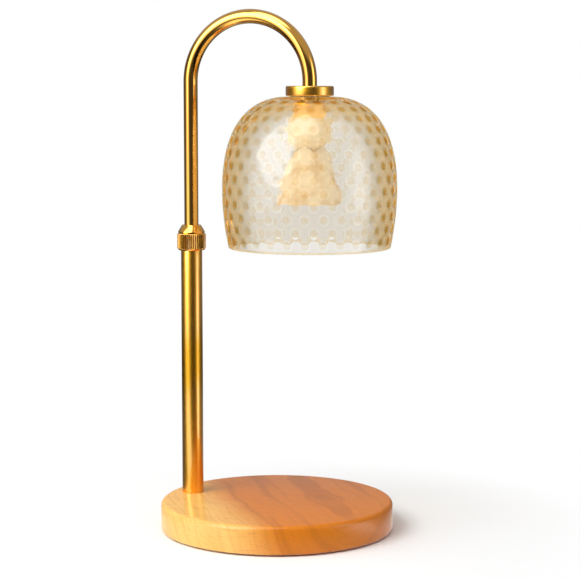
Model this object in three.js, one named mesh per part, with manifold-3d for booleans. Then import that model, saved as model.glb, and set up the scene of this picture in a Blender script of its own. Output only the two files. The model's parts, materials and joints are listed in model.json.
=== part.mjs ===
// Candle warmer lamp. A weighted wooden base carries a telescopic brass post. A knurled lock
// collar holds the arched arm at its height, and the arm carries a dimpled glass shade over a
// small reflector bulb that shines down on what stands on the base.
// Millimetres, +Z up. The origin is the centre of the foot pad's underside, and +X runs from
// the post towards the shade.

import * as THREE from "three";
import { mergeVertices } from "three/addons/utils/BufferGeometryUtils.js";
import Module from "manifold-3d";

const wasm = await Module();
wasm.setup();

// Clearances and cutting
const seat_gap = 0.3; // between a piece and the seat that holds it
const overrun = 1; // how far a cutter passes the face that it opens
const merge_distance = 0.0001; // points closer than this are one point

// Facets round a full turn, and divisions of drawn curves; an arc gets two chords for each
const wide_facets = 40;
const middle_facets = 20;
const narrow_facets = 12;
const fine_facets = 8; // round screws and pins
const arc_divisions = 1;
const curve_divisions = 2;
const slot_divisions = 2;

// Base
const base_radius = 65;
const base_height = 16.5; // from the table to the top of the wood
const base_top_round = 2.4;
const base_foot_round = 1;
const pad_thickness = 2;
const pad_proud = 1; // how far the pad stands out below the wood
const pad_rim = 3.5; // width of bare wood round the pad
const weight_web = 4.1; // wood between the weight and the pocket of the post's nut
const weight_thickness = 8;
const weight_screw_count = 3;
const weight_screw_inset = 14; // from the weight's edge to its screws
const weight_screw_radius = 2;
const weight_screw_length = 9.6; // under the head
const weight_screw_head_radius = 3.8;
const weight_screw_head_height = 2.2;

// Cord inlet
const inlet_height = 6.2; // from the table to the inlet's axis
const inlet_bore_radius = 2.2;
const inlet_wall = 1;
const inlet_flange_radius = 4.4;
const inlet_flange_thickness = 1.2;

// Post
const post_inset = 13; // from the base's edge to the post's axis
const post_radius = 6;
const post_wall = 0.8;
const post_length = 145.8; // above the wood
const post_nipple_bore_radius = 3.2;
const post_nipple_inside = 15.5; // how far the nipple reaches up into the post
const post_nipple_end = 2; // thread left below the nut
const post_nut_flats = 14;
const post_nut_height = 3;
const post_washer_radius = 9;
const post_washer_thickness = 1.2;
const pocket_depth = 7; // of wood left above the washer

// Lock collar and its collet
const collar_radius = 8.1;
const collar_knurl_height = 10.3;
const collar_knurl_depth = 0.35;
const collar_knurl_count = 36;
const collar_knurl_inset = 0.6; // plain lands above and below the knurl
const collar_cone_height = 4;
const collar_cone_top_radius = 5.3;
const collar_mouth_radius = 4.5; // where the arm leaves the collar
const collar_mouth_height = 0.8;
const collar_cover = 6.8; // how far the collar reaches down over the post
const collet_height = 4.6;
const collet_skirt_height = 0.8;
const collet_tip_radius = 4.9;
const collet_slit = 1.2;

// Arm
const arm_radius = 4;
const arm_wall = 1;
const arm_inside = 36.3; // length of arm inside the post
const arm_above_collar = 80.2; // straight length from the collar to the arch
const arch_radius = 35.75;
const arm_drop = 2.4; // straight length from the arch down to the cap
const arm_outer_facets = 14;
const arm_bore_facets = 9;
const arch_steps = 14;
const clip_thickness = 0.8;
const clip_inset = 1; // from the arm's end to the first groove
const clip_groove_depth = 0.6;
const clip_slit = 3;
const bush_length = 12;

// Cap and the nipple that clamps the shade
const cap_radius = 13.2;
const cap_height = 5.5;
const cap_round = 0.7;
const cap_plate = 2.2; // thickness of the cap round the arm
const nipple_radius = 4.7;
const nipple_bore_radius = 1.8;
const nipple_spigot_length = 4.9; // through the cap and up into the arm's straight end
const nipple_end = 0.8; // thread left below the nut
const gasket_thickness = 1.1;
const gasket_rim = 1.7; // width of cap outside the upper gasket

// Glass shade
const shade_radius = 48.1;
const shade_height = 82.8;
const shade_widest_height = 32; // above the rim
const shade_mouth_radius = 44.5;
const shade_flat_radius = 12; // flat land under the cap
const shade_wall = 2.2;
const shade_hole_play = 0.8; // between the nipple and the glass
const shade_shoulder_share = 0.6; // of the width beyond the flat, where the dome still runs level
const shade_side_share = 0.686; // of the dome's height, where the side still runs upright
const shade_skirt_share = 0.53; // of the skirt's height, where it starts to turn in
const shade_rim_facets = 50; // round the outer edge of the mouth
const shade_bore_facets = 32; // round the smooth inner wall
const shade_bore_steps = 7; // up the inner wall
const dimple_first_row = 4.8; // along the glass, from the rim to the lowest row
const dimple_row_pitch = 6.9;
const dimple_top_land = 5; // least glass between the top row's middles and the flat
const dimple_ring_count = 30; // round the widest rows
const dimple_count_step = 6; // how many a row loses where they would crowd
const dimple_least_pitch = 7; // round a row, centre to centre
const dimple_radius = 2.5;
const dimple_depth = 1;
const dimple_corners = 6;

// Neck sleeve and holder cup
const neck_radius = 9.2;
const neck_height = 7.5;
const neck_wall = 1;
const neck_plate = 1.4;
const cup_radius = 12.2;
const cup_height = 17;
const cup_wall = 0.9;
const cup_plate = 1.2;
const cup_mouth_radius = 10;
const cup_shoulder_height = 5.5;
const cup_lip_height = 5.5;
const holder_nut_flats = 14;
const holder_nut_height = 3;
const holder_washer_radius = 7.4;
const holder_washer_thickness = 0.8;

// Lampholder, its bracket and contacts
const holder_radius = 10;
const holder_half_width = 7.5;
const holder_height = 7.2;
const holder_drop = 0.6; // from the nipple's end to the lampholder
const holder_ledge = 1.8; // thickness of the plate that keeps the pin heads in
const pin_circle = 5; // radius of the circle that the two pins stand on
const pin_neck_radius = 1.3;
const pin_head_radius = 2.3;
const pin_head_height = 3;
const pin_root = 2; // length of pin held in the bulb's base
const pin_twist = THREE.MathUtils.degToRad(20);
const contact_ledge = 0.8; // width of the ledge that the contact lies on
const contact_thickness = 1.2;
const contact_gap = 0.4; // from the pin's head to the contact
const bracket_half_width = 3.2;
const bracket_eye_radius = 7; // of the round eye that the nipple passes through
const bracket_thickness = 1;
const bracket_leg_length = 10.3;
const bracket_screw_radius = 1.2;
const bracket_screw_length = 4.2; // under the head
const bracket_screw_head_radius = 2.2;
const bracket_screw_head_height = 1.2;
const bracket_screw_drop = 7.8; // from the top of the bracket to the screws

// Bulb
const bulb_radius = 17.9;
const bulb_neck_radius = 8.7;
const bulb_length = 29.7; // of the reflector
const bulb_rim_height = 3;
const bulb_flare_share = 0.5; // of the flare's height, where its curve is steepest
const bulb_glass = 1.2;
const bulb_base_radius = 8.5;
const bulb_base_thickness = 2.4;
const bulb_plug_radius = 4.9;
const bulb_plug_length = 5.4;
const lens_thickness = 1.5;
const lens_dome = 0.8;
const capsule_radius = 3.4;
const capsule_length = 11;
const flare_steps = 3;

// Levels above the table, from the foot up
const recess_roof = pad_thickness + seat_gap + weight_thickness;
const washer_top = base_height - pocket_depth;
const nut_bottom = washer_top - post_washer_thickness - post_nut_height;
const post_top = base_height + post_length;
const collar_bottom = post_top - collar_cover;
const collar_top = collar_bottom + collar_knurl_height + collar_cone_height;
const arm_bottom = post_top - arm_inside;
const springing = collar_top + arm_above_collar;
const cap_top = springing - arm_drop;
const cap_bottom = cap_top - cap_height;
const shade_top = cap_bottom - seat_gap;
const shade_bottom = shade_top - shade_height;
const neck_top = shade_top - shade_wall - gasket_thickness;
const cup_top = neck_top - neck_height;
const bracket_top = cup_top - cup_plate - holder_washer_thickness;
const holder_nut_bottom = bracket_top - bracket_thickness - holder_nut_height;
const nipple_bottom = holder_nut_bottom - nipple_end;
const holder_top = nipple_bottom - holder_drop;
const holder_bottom = holder_top - holder_height;
const bulb_base_top = holder_bottom - seat_gap;
const bulb_neck_top = bulb_base_top - bulb_base_thickness - seat_gap;
const bulb_face = bulb_neck_top - bulb_length;

// Places and radii that follow a neighbour
const post_offset = base_radius - post_inset;
const shade_offset = 2 * arch_radius - post_offset;
const pocket_radius = post_washer_radius + 2 * seat_gap;
const weight_radius = post_offset - pocket_radius - weight_web - seat_gap;
const post_bore_radius = post_radius - post_wall;
const post_nipple_radius = post_bore_radius - seat_gap;
const arm_bore_radius = arm_radius - arm_wall;
const spigot_radius = arm_bore_radius - seat_gap;
const clip_groove_radius = arm_radius - clip_groove_depth;
const clip_radius = post_bore_radius - seat_gap;
const nipple_hole_radius = nipple_radius + seat_gap;
const gasket_radius = cap_radius - gasket_rim - seat_gap;

/** Draws points along a path, leaving out those that repeat the one before. */
function drawnPoints(path, divisions) {
  const points = [];
  for (const point of path.getPoints(divisions)) {
    const last = points[points.length - 1];
    if (!last || last.distanceTo(point) > merge_distance) {
      points.push(point);
    }
  }
  return points;
}

/** Turns a profile of radius and height once round the Z axis. */
function revolve(profile, facets, divisions = arc_divisions) {
  const points = drawnPoints(profile, divisions);
  if (THREE.ShapeUtils.isClockWise(points)) {
    points.reverse();
  }
  const first = points[0];
  const last = points[points.length - 1];
  if (first.x > merge_distance && first.distanceTo(last) > merge_distance) {
    points.push(first.clone());
  }
  const geometry = new THREE.LatheGeometry(points, facets);
  geometry.rotateX(Math.PI / 2);
  return geometry;
}

/** A profile with straight sides through a list of [radius, height] corners. */
function straightProfile(corners) {
  const profile = new THREE.Path();
  profile.setFromPoints(corners.map(([radius, height]) => new THREE.Vector2(radius, height)));
  return profile;
}

/** A plain ring that stands on the XY plane. */
function ring(inner_radius, outer_radius, height, facets) {
  const corners = [
    [inner_radius, 0],
    [outer_radius, 0],
    [outer_radius, height],
    [inner_radius, height],
    [inner_radius, 0],
  ];
  return revolve(straightProfile(corners), facets);
}

/** A plain round rod that stands on the XY plane. */
function rod(radius, height, facets) {
  const corners = [
    [0, 0],
    [radius, 0],
    [radius, height],
    [0, height],
  ];
  return revolve(straightProfile(corners), facets);
}

/** Turns a geometry into a solid for joining and cutting. */
function toSolid(geometry) {
  const bare = new THREE.BufferGeometry();
  bare.setAttribute("position", geometry.getAttribute("position"));
  bare.setIndex(geometry.getIndex());
  const merged = mergeVertices(bare, merge_distance);
  const corners = merged.getIndex().array;
  const triangles = [];
  for (let i = 0; i < corners.length; i += 3) {
    const [a, b, c] = corners.slice(i, i + 3);
    if (a !== b && b !== c && c !== a) {
      triangles.push(a, b, c);
    }
  }
  const vertProperties = merged.getAttribute("position").array;
  const triVerts = new Uint32Array(triangles);
  return new wasm.Manifold(new wasm.Mesh({ numProp: 3, vertProperties, triVerts }));
}

/** Turns a solid back into a geometry. */
function fromSolid(solid) {
  const mesh = solid.getMesh();
  const geometry = new THREE.BufferGeometry();
  geometry.setAttribute("position", new THREE.BufferAttribute(mesh.vertProperties, 3));
  geometry.setIndex(new THREE.BufferAttribute(mesh.triVerts, 1));
  geometry.computeVertexNormals();
  return geometry;
}

/** Cuts each tool out of a geometry. */
function cut(geometry, tools) {
  let solid = toSolid(geometry);
  for (const tool of tools) {
    solid = solid.subtract(toSolid(tool));
  }
  return fromSolid(solid);
}

/** Keeps what two geometries share. */
function overlap(geometry, other) {
  return fromSolid(toSolid(geometry).intersect(toSolid(other)));
}

/** Joins geometries that overlap into one. */
function join(geometries) {
  let solid = toSolid(geometries[0]);
  for (const geometry of geometries.slice(1)) {
    solid = solid.add(toSolid(geometry));
  }
  return fromSolid(solid);
}

/** Extrudes a flat outline upwards from the XY plane. */
function extrude(shape, height, divisions = arc_divisions) {
  return new THREE.ExtrudeGeometry(shape, {
    depth: height,
    bevelEnabled: false,
    curveSegments: divisions,
  });
}

/** A circle as a closed outline with a given number of sides. */
function circlePoints(radius, sides) {
  const points = [];
  for (let i = 0; i < sides; i += 1) {
    const angle = (2 * Math.PI * i) / sides;
    points.push(new THREE.Vector2(radius * Math.cos(angle), radius * Math.sin(angle)));
  }
  return points;
}

/** A hexagonal nut with two flats facing along Y. */
function hexNut(flats, bore_radius, height) {
  const shape = new THREE.Shape(circlePoints(flats / Math.sqrt(3), 6));
  shape.holes.push(new THREE.Path(circlePoints(bore_radius, narrow_facets)));
  return extrude(shape, height);
}

/** A bar with a gap cut through one side of a ring, for split rings and clips. */
function slitCutter(width, reach, height) {
  const geometry = new THREE.BoxGeometry(reach, width, height + 2 * overrun);
  geometry.translate(-reach / 2, 0, height / 2);
  return geometry;
}

/** A round-headed screw, head down, with the underside of its head at the origin. */
function screw(radius, length, head_radius, head_height) {
  const profile = new THREE.Path();
  profile.moveTo(0, -head_height);
  profile.lineTo(head_radius / 2, -head_height);
  profile.quadraticCurveTo(head_radius, -head_height, head_radius, -head_height / 2);
  profile.lineTo(head_radius, 0);
  profile.lineTo(radius, 0);
  profile.lineTo(radius, length - radius);
  profile.lineTo(0, length);
  return revolve(profile, fine_facets, curve_divisions);
}

/** Places of the screws that hold the weight, in the XY plane. */
function weightScrewPlaces() {
  return circlePoints(weight_radius - weight_screw_inset, weight_screw_count);
}

/** The turned wooden disc, hollow below for the pad, the weight and the post's nut. */
function baseDisc() {
  const pad_recess_radius = base_radius - pad_rim;
  const weight_recess_radius = weight_radius + seat_gap;
  const profile = new THREE.Path();
  profile.moveTo(0, recess_roof);
  profile.lineTo(weight_recess_radius, recess_roof);
  profile.lineTo(weight_recess_radius, pad_thickness);
  profile.lineTo(pad_recess_radius, pad_thickness);
  profile.lineTo(pad_recess_radius, pad_proud);
  profile.lineTo(base_radius - base_foot_round, pad_proud);
  profile.absarc(
    base_radius - base_foot_round,
    pad_proud + base_foot_round,
    base_foot_round,
    -Math.PI / 2,
    0,
    false,
  );
  profile.absarc(
    base_radius - base_top_round,
    base_height - base_top_round,
    base_top_round,
    0,
    Math.PI / 2,
    false,
  );
  profile.lineTo(0, base_height);
  const disc = revolve(profile, wide_facets);

  const post_hole = rod(nippleClearRadius(), base_height + overrun, narrow_facets);
  post_hole.translate(-post_offset, 0, 0);
  const pocket = rod(pocket_radius, washer_top, middle_facets);
  pocket.translate(-post_offset, 0, 0);
  const inlet = rod(inlet_bore_radius + inlet_wall + seat_gap, post_inset, narrow_facets);
  inlet.rotateY(-Math.PI / 2);
  inlet.translate(-post_offset - overrun, 0, inlet_height);
  const tools = [post_hole, pocket, inlet];
  const screw_tip = weightScrewSeat() + weight_screw_length + seat_gap;
  for (const place of weightScrewPlaces()) {
    const pilot = rod(weight_screw_radius + seat_gap, screw_tip, fine_facets);
    pilot.translate(place.x, place.y, 0);
    tools.push(pilot);
  }
  return cut(disc, tools);
}

/** Radius of the hole that the post's nipple passes through. */
function nippleClearRadius() {
  return post_nipple_radius + seat_gap;
}

/** Height of the face in the weight that the screw heads draw up against. */
function weightScrewSeat() {
  return pad_thickness + seat_gap + weight_screw_head_height + seat_gap;
}

/** The steel disc that keeps the lamp from tipping, drilled for its screws. */
function baseWeight() {
  const plate = rod(weight_radius, weight_thickness, middle_facets);
  const tools = [];
  for (const place of weightScrewPlaces()) {
    const hole = rod(weight_screw_radius + seat_gap, weight_thickness + overrun, fine_facets);
    hole.translate(place.x, place.y, 0);
    const bore_depth = weightScrewSeat() - pad_thickness - seat_gap;
    const bore = rod(weight_screw_head_radius + seat_gap, bore_depth + overrun, fine_facets);
    bore.translate(place.x, place.y, -overrun);
    tools.push(hole, bore);
  }
  return cut(plate, tools);
}

/** The soft pad under the base, with a softened lower edge. */
function footPad() {
  const radius = base_radius - pad_rim - seat_gap;
  const bevel = pad_proud / 2;
  const corners = [
    [0, 0],
    [radius - bevel, 0],
    [radius, bevel],
    [radius, pad_thickness],
    [0, pad_thickness],
  ];
  return revolve(straightProfile(corners), wide_facets);
}

/** The flanged bush that lines the cord inlet, with its flange at the origin facing -Z. */
function cordGrommet() {
  const body_radius = inlet_bore_radius + inlet_wall;
  const depth = post_inset - pocket_radius;
  const corners = [
    [inlet_bore_radius, -inlet_flange_thickness],
    [inlet_flange_radius, -inlet_flange_thickness],
    [inlet_flange_radius, 0],
    [body_radius, 0],
    [body_radius, depth],
    [inlet_bore_radius, depth],
    [inlet_bore_radius, -inlet_flange_thickness],
  ];
  return revolve(straightProfile(corners), narrow_facets);
}

/** The lower tube, which stands on the wood. */
function lowerPost() {
  return ring(post_bore_radius, post_radius, post_length, middle_facets);
}

/** The hollow threaded rod that draws the post down onto the wood. */
function postNipple() {
  const length = base_height + post_nipple_inside - nut_bottom + post_nipple_end;
  return ring(post_nipple_bore_radius, post_nipple_radius, length, narrow_facets);
}

/** The split nylon cone that the collar squeezes onto the arm. */
function clampCollet() {
  const bore_radius = arm_radius + seat_gap;
  const corners = [
    [bore_radius, 0],
    [post_radius, 0],
    [post_radius, collet_skirt_height],
    [collet_tip_radius, collet_height],
    [bore_radius, collet_height],
    [bore_radius, 0],
  ];
  const cone = revolve(straightProfile(corners), middle_facets);
  return cut(cone, [slitCutter(collet_slit, post_radius + overrun, collet_height)]);
}

/** The outline of straight knurling: crests and roots by turns. */
function knurlOutline(crest_radius, root_radius, count) {
  const points = [];
  for (let i = 0; i < 2 * count; i += 1) {
    const radius = i % 2 ? root_radius : crest_radius;
    const angle = (Math.PI * i) / count;
    points.push(new THREE.Vector2(radius * Math.cos(angle), radius * Math.sin(angle)));
  }
  return points;
}

/** The knurled collar with its polished cone, hollow for the post's thread and the collet. */
function lockCollar() {
  const root_radius = collar_radius - collar_knurl_depth;
  const bore_radius = post_radius + seat_gap;
  const height = collar_knurl_height + collar_cone_height;
  const cone_start = collar_cover + seat_gap + collet_skirt_height + seat_gap;
  const corners = [
    [bore_radius, 0],
    [root_radius, 0],
    [root_radius, collar_knurl_height],
    [collar_cone_top_radius, height],
    [collar_mouth_radius, height],
    [collar_mouth_radius, height - collar_mouth_height],
    [bore_radius, cone_start],
    [bore_radius, 0],
  ];
  const body = revolve(straightProfile(corners), middle_facets);
  const core_radius = (bore_radius + root_radius) / 2;
  const outline = new THREE.Shape(knurlOutline(collar_radius, root_radius, collar_knurl_count));
  outline.holes.push(new THREE.Path(circlePoints(core_radius, middle_facets)));
  const band = extrude(outline, collar_knurl_height - 2 * collar_knurl_inset);
  band.translate(0, 0, collar_knurl_inset);
  return join([body, band]);
}

/** Centreline of the arm: one step up the straight leg, even steps over the arch, one down. */
class ArmCentreline extends THREE.Curve {
  constructor(leg, radius, drop, steps) {
    super();
    this.leg = leg;
    this.radius = radius;
    this.drop = drop;
    this.steps = steps;
  }

  getUtoTmapping(u) {
    return u;
  }

  getPoint(t, target = new THREE.Vector3()) {
    const step = t * (this.steps + 2);
    if (step <= 1) {
      return target.set(0, 0, step * this.leg);
    }
    if (step >= this.steps + 1) {
      return target.set(2 * this.radius, 0, this.leg - (step - this.steps - 1) * this.drop);
    }
    const angle = (Math.PI * (step - 1)) / this.steps;
    const across = this.radius * (1 - Math.cos(angle));
    return target.set(across, 0, this.leg + this.radius * Math.sin(angle));
  }

  getTangent(t, target = new THREE.Vector3()) {
    const step = THREE.MathUtils.clamp(t * (this.steps + 2) - 1, 0, this.steps);
    const angle = (Math.PI * step) / this.steps;
    return target.set(Math.sin(angle), 0, Math.cos(angle));
  }
}

/** Heights of the two clip grooves above the arm's lower end. */
function clipGrooveHeights() {
  const groove_height = clip_thickness + 2 * seat_gap;
  const lower = clip_inset;
  const upper = lower + groove_height + bush_length;
  return { lower, upper, groove_height };
}

/** The bent tube, from inside the post over the arch to the top of the cap. */
function armTube() {
  const leg = springing - arm_bottom;
  const centreline = new ArmCentreline(leg, arch_radius, arm_drop, arch_steps);
  const section = new THREE.Shape(circlePoints(arm_radius, arm_outer_facets));
  section.holes.push(new THREE.Path(circlePoints(arm_bore_radius, arm_bore_facets)));
  const tube = new THREE.ExtrudeGeometry(section, {
    steps: arch_steps + 2,
    extrudePath: centreline,
  });
  const grooves = clipGrooveHeights();
  const tools = [];
  for (const height of [grooves.lower, grooves.upper]) {
    const outer_radius = arm_radius + overrun;
    const groove = ring(clip_groove_radius, outer_radius, grooves.groove_height, arm_outer_facets);
    groove.translate(0, 0, height);
    tools.push(groove);
  }
  return cut(tube, tools);
}

/** The bush that guides the arm inside the post. */
function guideBush() {
  return ring(arm_radius + seat_gap, clip_radius, bush_length, narrow_facets);
}

/** A spring clip that keeps the bush on the arm. */
function bushClip() {
  const clip = ring(clip_groove_radius + seat_gap, clip_radius, clip_thickness, narrow_facets);
  return cut(clip, [slitCutter(clip_slit, clip_radius + overrun, clip_thickness)]);
}

/** The turned cap over the shade, with rounded edges and a recess for its gasket. */
function shadeCap() {
  const hole_radius = spigot_radius + seat_gap;
  const recess_radius = cap_radius - gasket_rim;
  const recess_roof_height = gasket_thickness - seat_gap;
  const profile = new THREE.Path();
  profile.moveTo(recess_radius, 0);
  profile.lineTo(cap_radius - cap_round, 0);
  profile.absarc(cap_radius - cap_round, cap_round, cap_round, -Math.PI / 2, 0, false);
  profile.absarc(cap_radius - cap_round, cap_height - cap_round, cap_round, 0, Math.PI / 2, false);
  profile.lineTo(hole_radius, cap_height);
  profile.lineTo(hole_radius, cap_height - cap_plate);
  profile.lineTo(nipple_hole_radius, cap_height - cap_plate);
  profile.lineTo(nipple_hole_radius, recess_roof_height);
  profile.lineTo(recess_radius, recess_roof_height);
  profile.lineTo(recess_radius, 0);
  return revolve(profile, middle_facets);
}

/** The hollow threaded rod, stepped down where it enters the arm. */
function armNipple() {
  const shoulder = cap_top - cap_plate - nipple_bottom;
  const top = shoulder + nipple_spigot_length;
  const corners = [
    [nipple_bore_radius, 0],
    [nipple_radius, 0],
    [nipple_radius, shoulder],
    [spigot_radius, shoulder],
    [spigot_radius, top],
    [nipple_bore_radius, top],
    [nipple_bore_radius, 0],
  ];
  return revolve(straightProfile(corners), narrow_facets);
}

/** The washer between the cap and the glass. */
function upperGasket() {
  return ring(nipple_hole_radius, gasket_radius, gasket_thickness, narrow_facets);
}

/** The washer between the glass and the neck sleeve. */
function lowerGasket() {
  return ring(nipple_hole_radius, neck_radius - seat_gap, gasket_thickness, narrow_facets);
}

/** Outline of the shade at a distance inside its outer face, from the rim up to the flat. */
function shadeOutline(inset) {
  const side_radius = shade_radius - inset;
  const mouth_radius = shade_mouth_radius - inset;
  const top = shade_height - inset;
  const dome_height = top - shade_widest_height;
  const skirt_turn = shade_skirt_share * shade_widest_height;
  const level_width = shade_shoulder_share * (side_radius - shade_flat_radius);
  const upright_height = shade_widest_height + shade_side_share * dome_height;
  const outline = new THREE.CurvePath();
  outline.add(
    new THREE.QuadraticBezierCurve(
      new THREE.Vector2(mouth_radius, 0),
      new THREE.Vector2(side_radius, skirt_turn),
      new THREE.Vector2(side_radius, shade_widest_height),
    ),
  );
  outline.add(
    new THREE.CubicBezierCurve(
      new THREE.Vector2(side_radius, shade_widest_height),
      new THREE.Vector2(side_radius, upright_height),
      new THREE.Vector2(shade_flat_radius + level_width, top),
      new THREE.Vector2(shade_flat_radius, top),
    ),
  );
  return outline;
}

/** A closed skin round the Z axis, zipped together from rows of points. */
class Skin {
  constructor() {
    this.points = [];
    this.triangles = [];
  }

  /** Adds a point at a radius, an angle and a height, and returns its number. */
  add(radius, angle, height) {
    this.points.push(new THREE.Vector3(radius * Math.cos(angle), radius * Math.sin(angle), height));
    return this.points.length - 1;
  }

  /** A row of evenly spaced points round the axis. */
  circle(radius, height, count) {
    const row = [];
    for (let i = 0; i < count; i += 1) {
      row.push(this.add(radius, (2 * Math.PI * i) / count, height));
    }
    return row;
  }

  /** How far apart two numbered points are. */
  distance(a, b) {
    return this.points[a].distanceTo(this.points[b]);
  }

  /** Fills the strip from one row to the next, each once round, by the shorter diagonal. */
  zip(row, next_row) {
    const gaps = next_row.map((point) => this.distance(row[0], point));
    const start = gaps.indexOf(Math.min(...gaps));
    const here = (step) => row[step % row.length];
    const there = (step) => next_row[(start + step) % next_row.length];
    let i = 0;
    let j = 0;
    while (i < row.length || j < next_row.length) {
      const along_row = i < row.length ? this.distance(here(i + 1), there(j)) : Infinity;
      const along_next = j < next_row.length ? this.distance(here(i), there(j + 1)) : Infinity;
      if (along_row <= along_next) {
        this.triangles.push(here(i), here(i + 1), there(j));
        i += 1;
      } else {
        this.triangles.push(here(i), there(j + 1), there(j));
        j += 1;
      }
    }
  }

  /** Fills a ring of points with a fan from its middle. */
  fan(ring_row, middle) {
    ring_row.forEach((point, i) => {
      this.triangles.push(point, ring_row[(i + 1) % ring_row.length], middle);
    });
  }

  /** The skin as a geometry. */
  toGeometry() {
    const geometry = new THREE.BufferGeometry();
    geometry.setFromPoints(this.points);
    geometry.setIndex(this.triangles);
    geometry.computeVertexNormals();
    return geometry;
  }
}

/** How many rows of dimples fit along an outline of a given length. */
function dimpleRowCount(length) {
  return 1 + Math.floor((length - dimple_first_row - dimple_top_land) / dimple_row_pitch);
}

/** How many dimples fit round a row of a given radius. */
function dimpleCount(radius) {
  let count = dimple_ring_count;
  while (2 * Math.PI * radius < count * dimple_least_pitch) {
    count -= dimple_count_step;
  }
  return count;
}

/** Sinks one row of dimples into the skin, and returns the edges above and below them. */
function dimpleRow(skin, outline, along, count, turn) {
  const length = outline.getLength();
  const centre = outline.getPoint(along / length);
  const slope = outline.getTangent(along / length);
  const floor_radius = centre.x - dimple_depth * slope.y;
  const floor_height = centre.y + dimple_depth * slope.x;
  const half = dimple_corners / 2;
  const lower_edge = [];
  const upper_edge = [];
  for (let i = 0; i < count; i += 1) {
    const middle_angle = (2 * Math.PI * (i + turn)) / count;
    const corners = [];
    for (let corner = 0; corner < dimple_corners; corner += 1) {
      const angle = Math.PI - (2 * Math.PI * corner) / dimple_corners;
      const across = dimple_radius * Math.cos(angle);
      const place = outline.getPoint((along + dimple_radius * Math.sin(angle)) / length);
      corners.push(skin.add(place.x, middle_angle + across / centre.x, place.y));
    }
    upper_edge.push(...corners.slice(0, half + 1));
    lower_edge.push(corners[0], ...corners.slice(half).reverse());
    skin.fan(corners.reverse(), skin.add(floor_radius, middle_angle, floor_height));
  }
  return { lower_edge, upper_edge };
}

/** The pressed glass shade: staggered rows of dimples outside, smooth inside. */
function glassShade() {
  const skin = new Skin();
  const outside = shadeOutline(0);
  const length = outside.getLength();
  const rim = skin.circle(shade_mouth_radius, 0, shade_rim_facets);
  let edge = rim;
  for (let row = 0; row < dimpleRowCount(length); row += 1) {
    const along = dimple_first_row + row * dimple_row_pitch;
    const count = dimpleCount(outside.getPoint(along / length).x);
    const dimples = dimpleRow(skin, outside, along, count, (row % 2) / 2);
    skin.zip(edge, dimples.lower_edge);
    edge = dimples.upper_edge;
  }
  const hole_radius = nipple_radius + shade_hole_play;
  const inner_top = shade_height - shade_wall;
  const rows = [
    skin.circle(shade_flat_radius, shade_height, middle_facets),
    skin.circle(hole_radius, shade_height, narrow_facets),
    skin.circle(hole_radius, inner_top, narrow_facets),
    skin.circle(shade_flat_radius, inner_top, middle_facets),
  ];
  const inside = shadeOutline(shade_wall);
  for (let step = 1; step <= shade_bore_steps; step += 1) {
    const place = inside.getPoint(1 - step / shade_bore_steps);
    rows.push(skin.circle(place.x, place.y, shade_bore_facets));
  }
  for (const next_row of [...rows, rim]) {
    skin.zip(edge, next_row);
    edge = next_row;
  }
  return skin.toGeometry();
}

/** The short sleeve between the shade and the holder cup. */
function neckSleeve() {
  const inner_radius = neck_radius - neck_wall;
  const corners = [
    [inner_radius, 0],
    [neck_radius, 0],
    [neck_radius, neck_height],
    [nipple_hole_radius, neck_height],
    [nipple_hole_radius, neck_height - neck_plate],
    [inner_radius, neck_height - neck_plate],
    [inner_radius, 0],
  ];
  return revolve(straightProfile(corners), middle_facets);
}

/** Adds the cup's rounded wall to a path, at a distance inside its outer face. */
function drawCupWall(profile, inset, top, upwards) {
  const lip = new THREE.Vector2(cup_mouth_radius - inset, 0);
  const low = new THREE.Vector2(cup_radius - inset, cup_lip_height);
  const high = new THREE.Vector2(cup_radius - inset, cup_height - cup_shoulder_height);
  const brim = new THREE.Vector2(neck_radius - inset, top);
  if (upwards) {
    profile.moveTo(lip.x, lip.y);
    profile.quadraticCurveTo(low.x, low.y / 2, low.x, low.y);
    profile.lineTo(high.x, high.y);
    profile.quadraticCurveTo(high.x, top, brim.x, brim.y);
    return;
  }
  profile.lineTo(brim.x, brim.y);
  profile.quadraticCurveTo(high.x, top, high.x, high.y);
  profile.lineTo(low.x, low.y);
  profile.quadraticCurveTo(low.x, low.y / 2, lip.x, lip.y);
}

/** The rounded metal cup over the lampholder. */
function holderCup() {
  const profile = new THREE.Path();
  drawCupWall(profile, 0, cup_height, true);
  profile.lineTo(nipple_hole_radius, cup_height);
  profile.lineTo(nipple_hole_radius, cup_height - cup_plate);
  drawCupWall(profile, cup_wall, cup_height - cup_plate, false);
  profile.lineTo(cup_mouth_radius, 0);
  return revolve(profile, middle_facets, curve_divisions);
}

/** What the bracket covers from above: a round eye with a narrow arm to each side. */
function bracketPlan() {
  const height = bracket_leg_length + 2 * overrun;
  const reach = 2 * (holder_half_width + bracket_thickness + overrun);
  const eye = rod(bracket_eye_radius, height, middle_facets);
  eye.translate(0, 0, -bracket_leg_length - overrun);
  const arms = new THREE.BoxGeometry(2 * bracket_half_width, reach, height);
  arms.translate(0, 0, -bracket_leg_length / 2);
  return join([eye, arms]);
}

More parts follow.
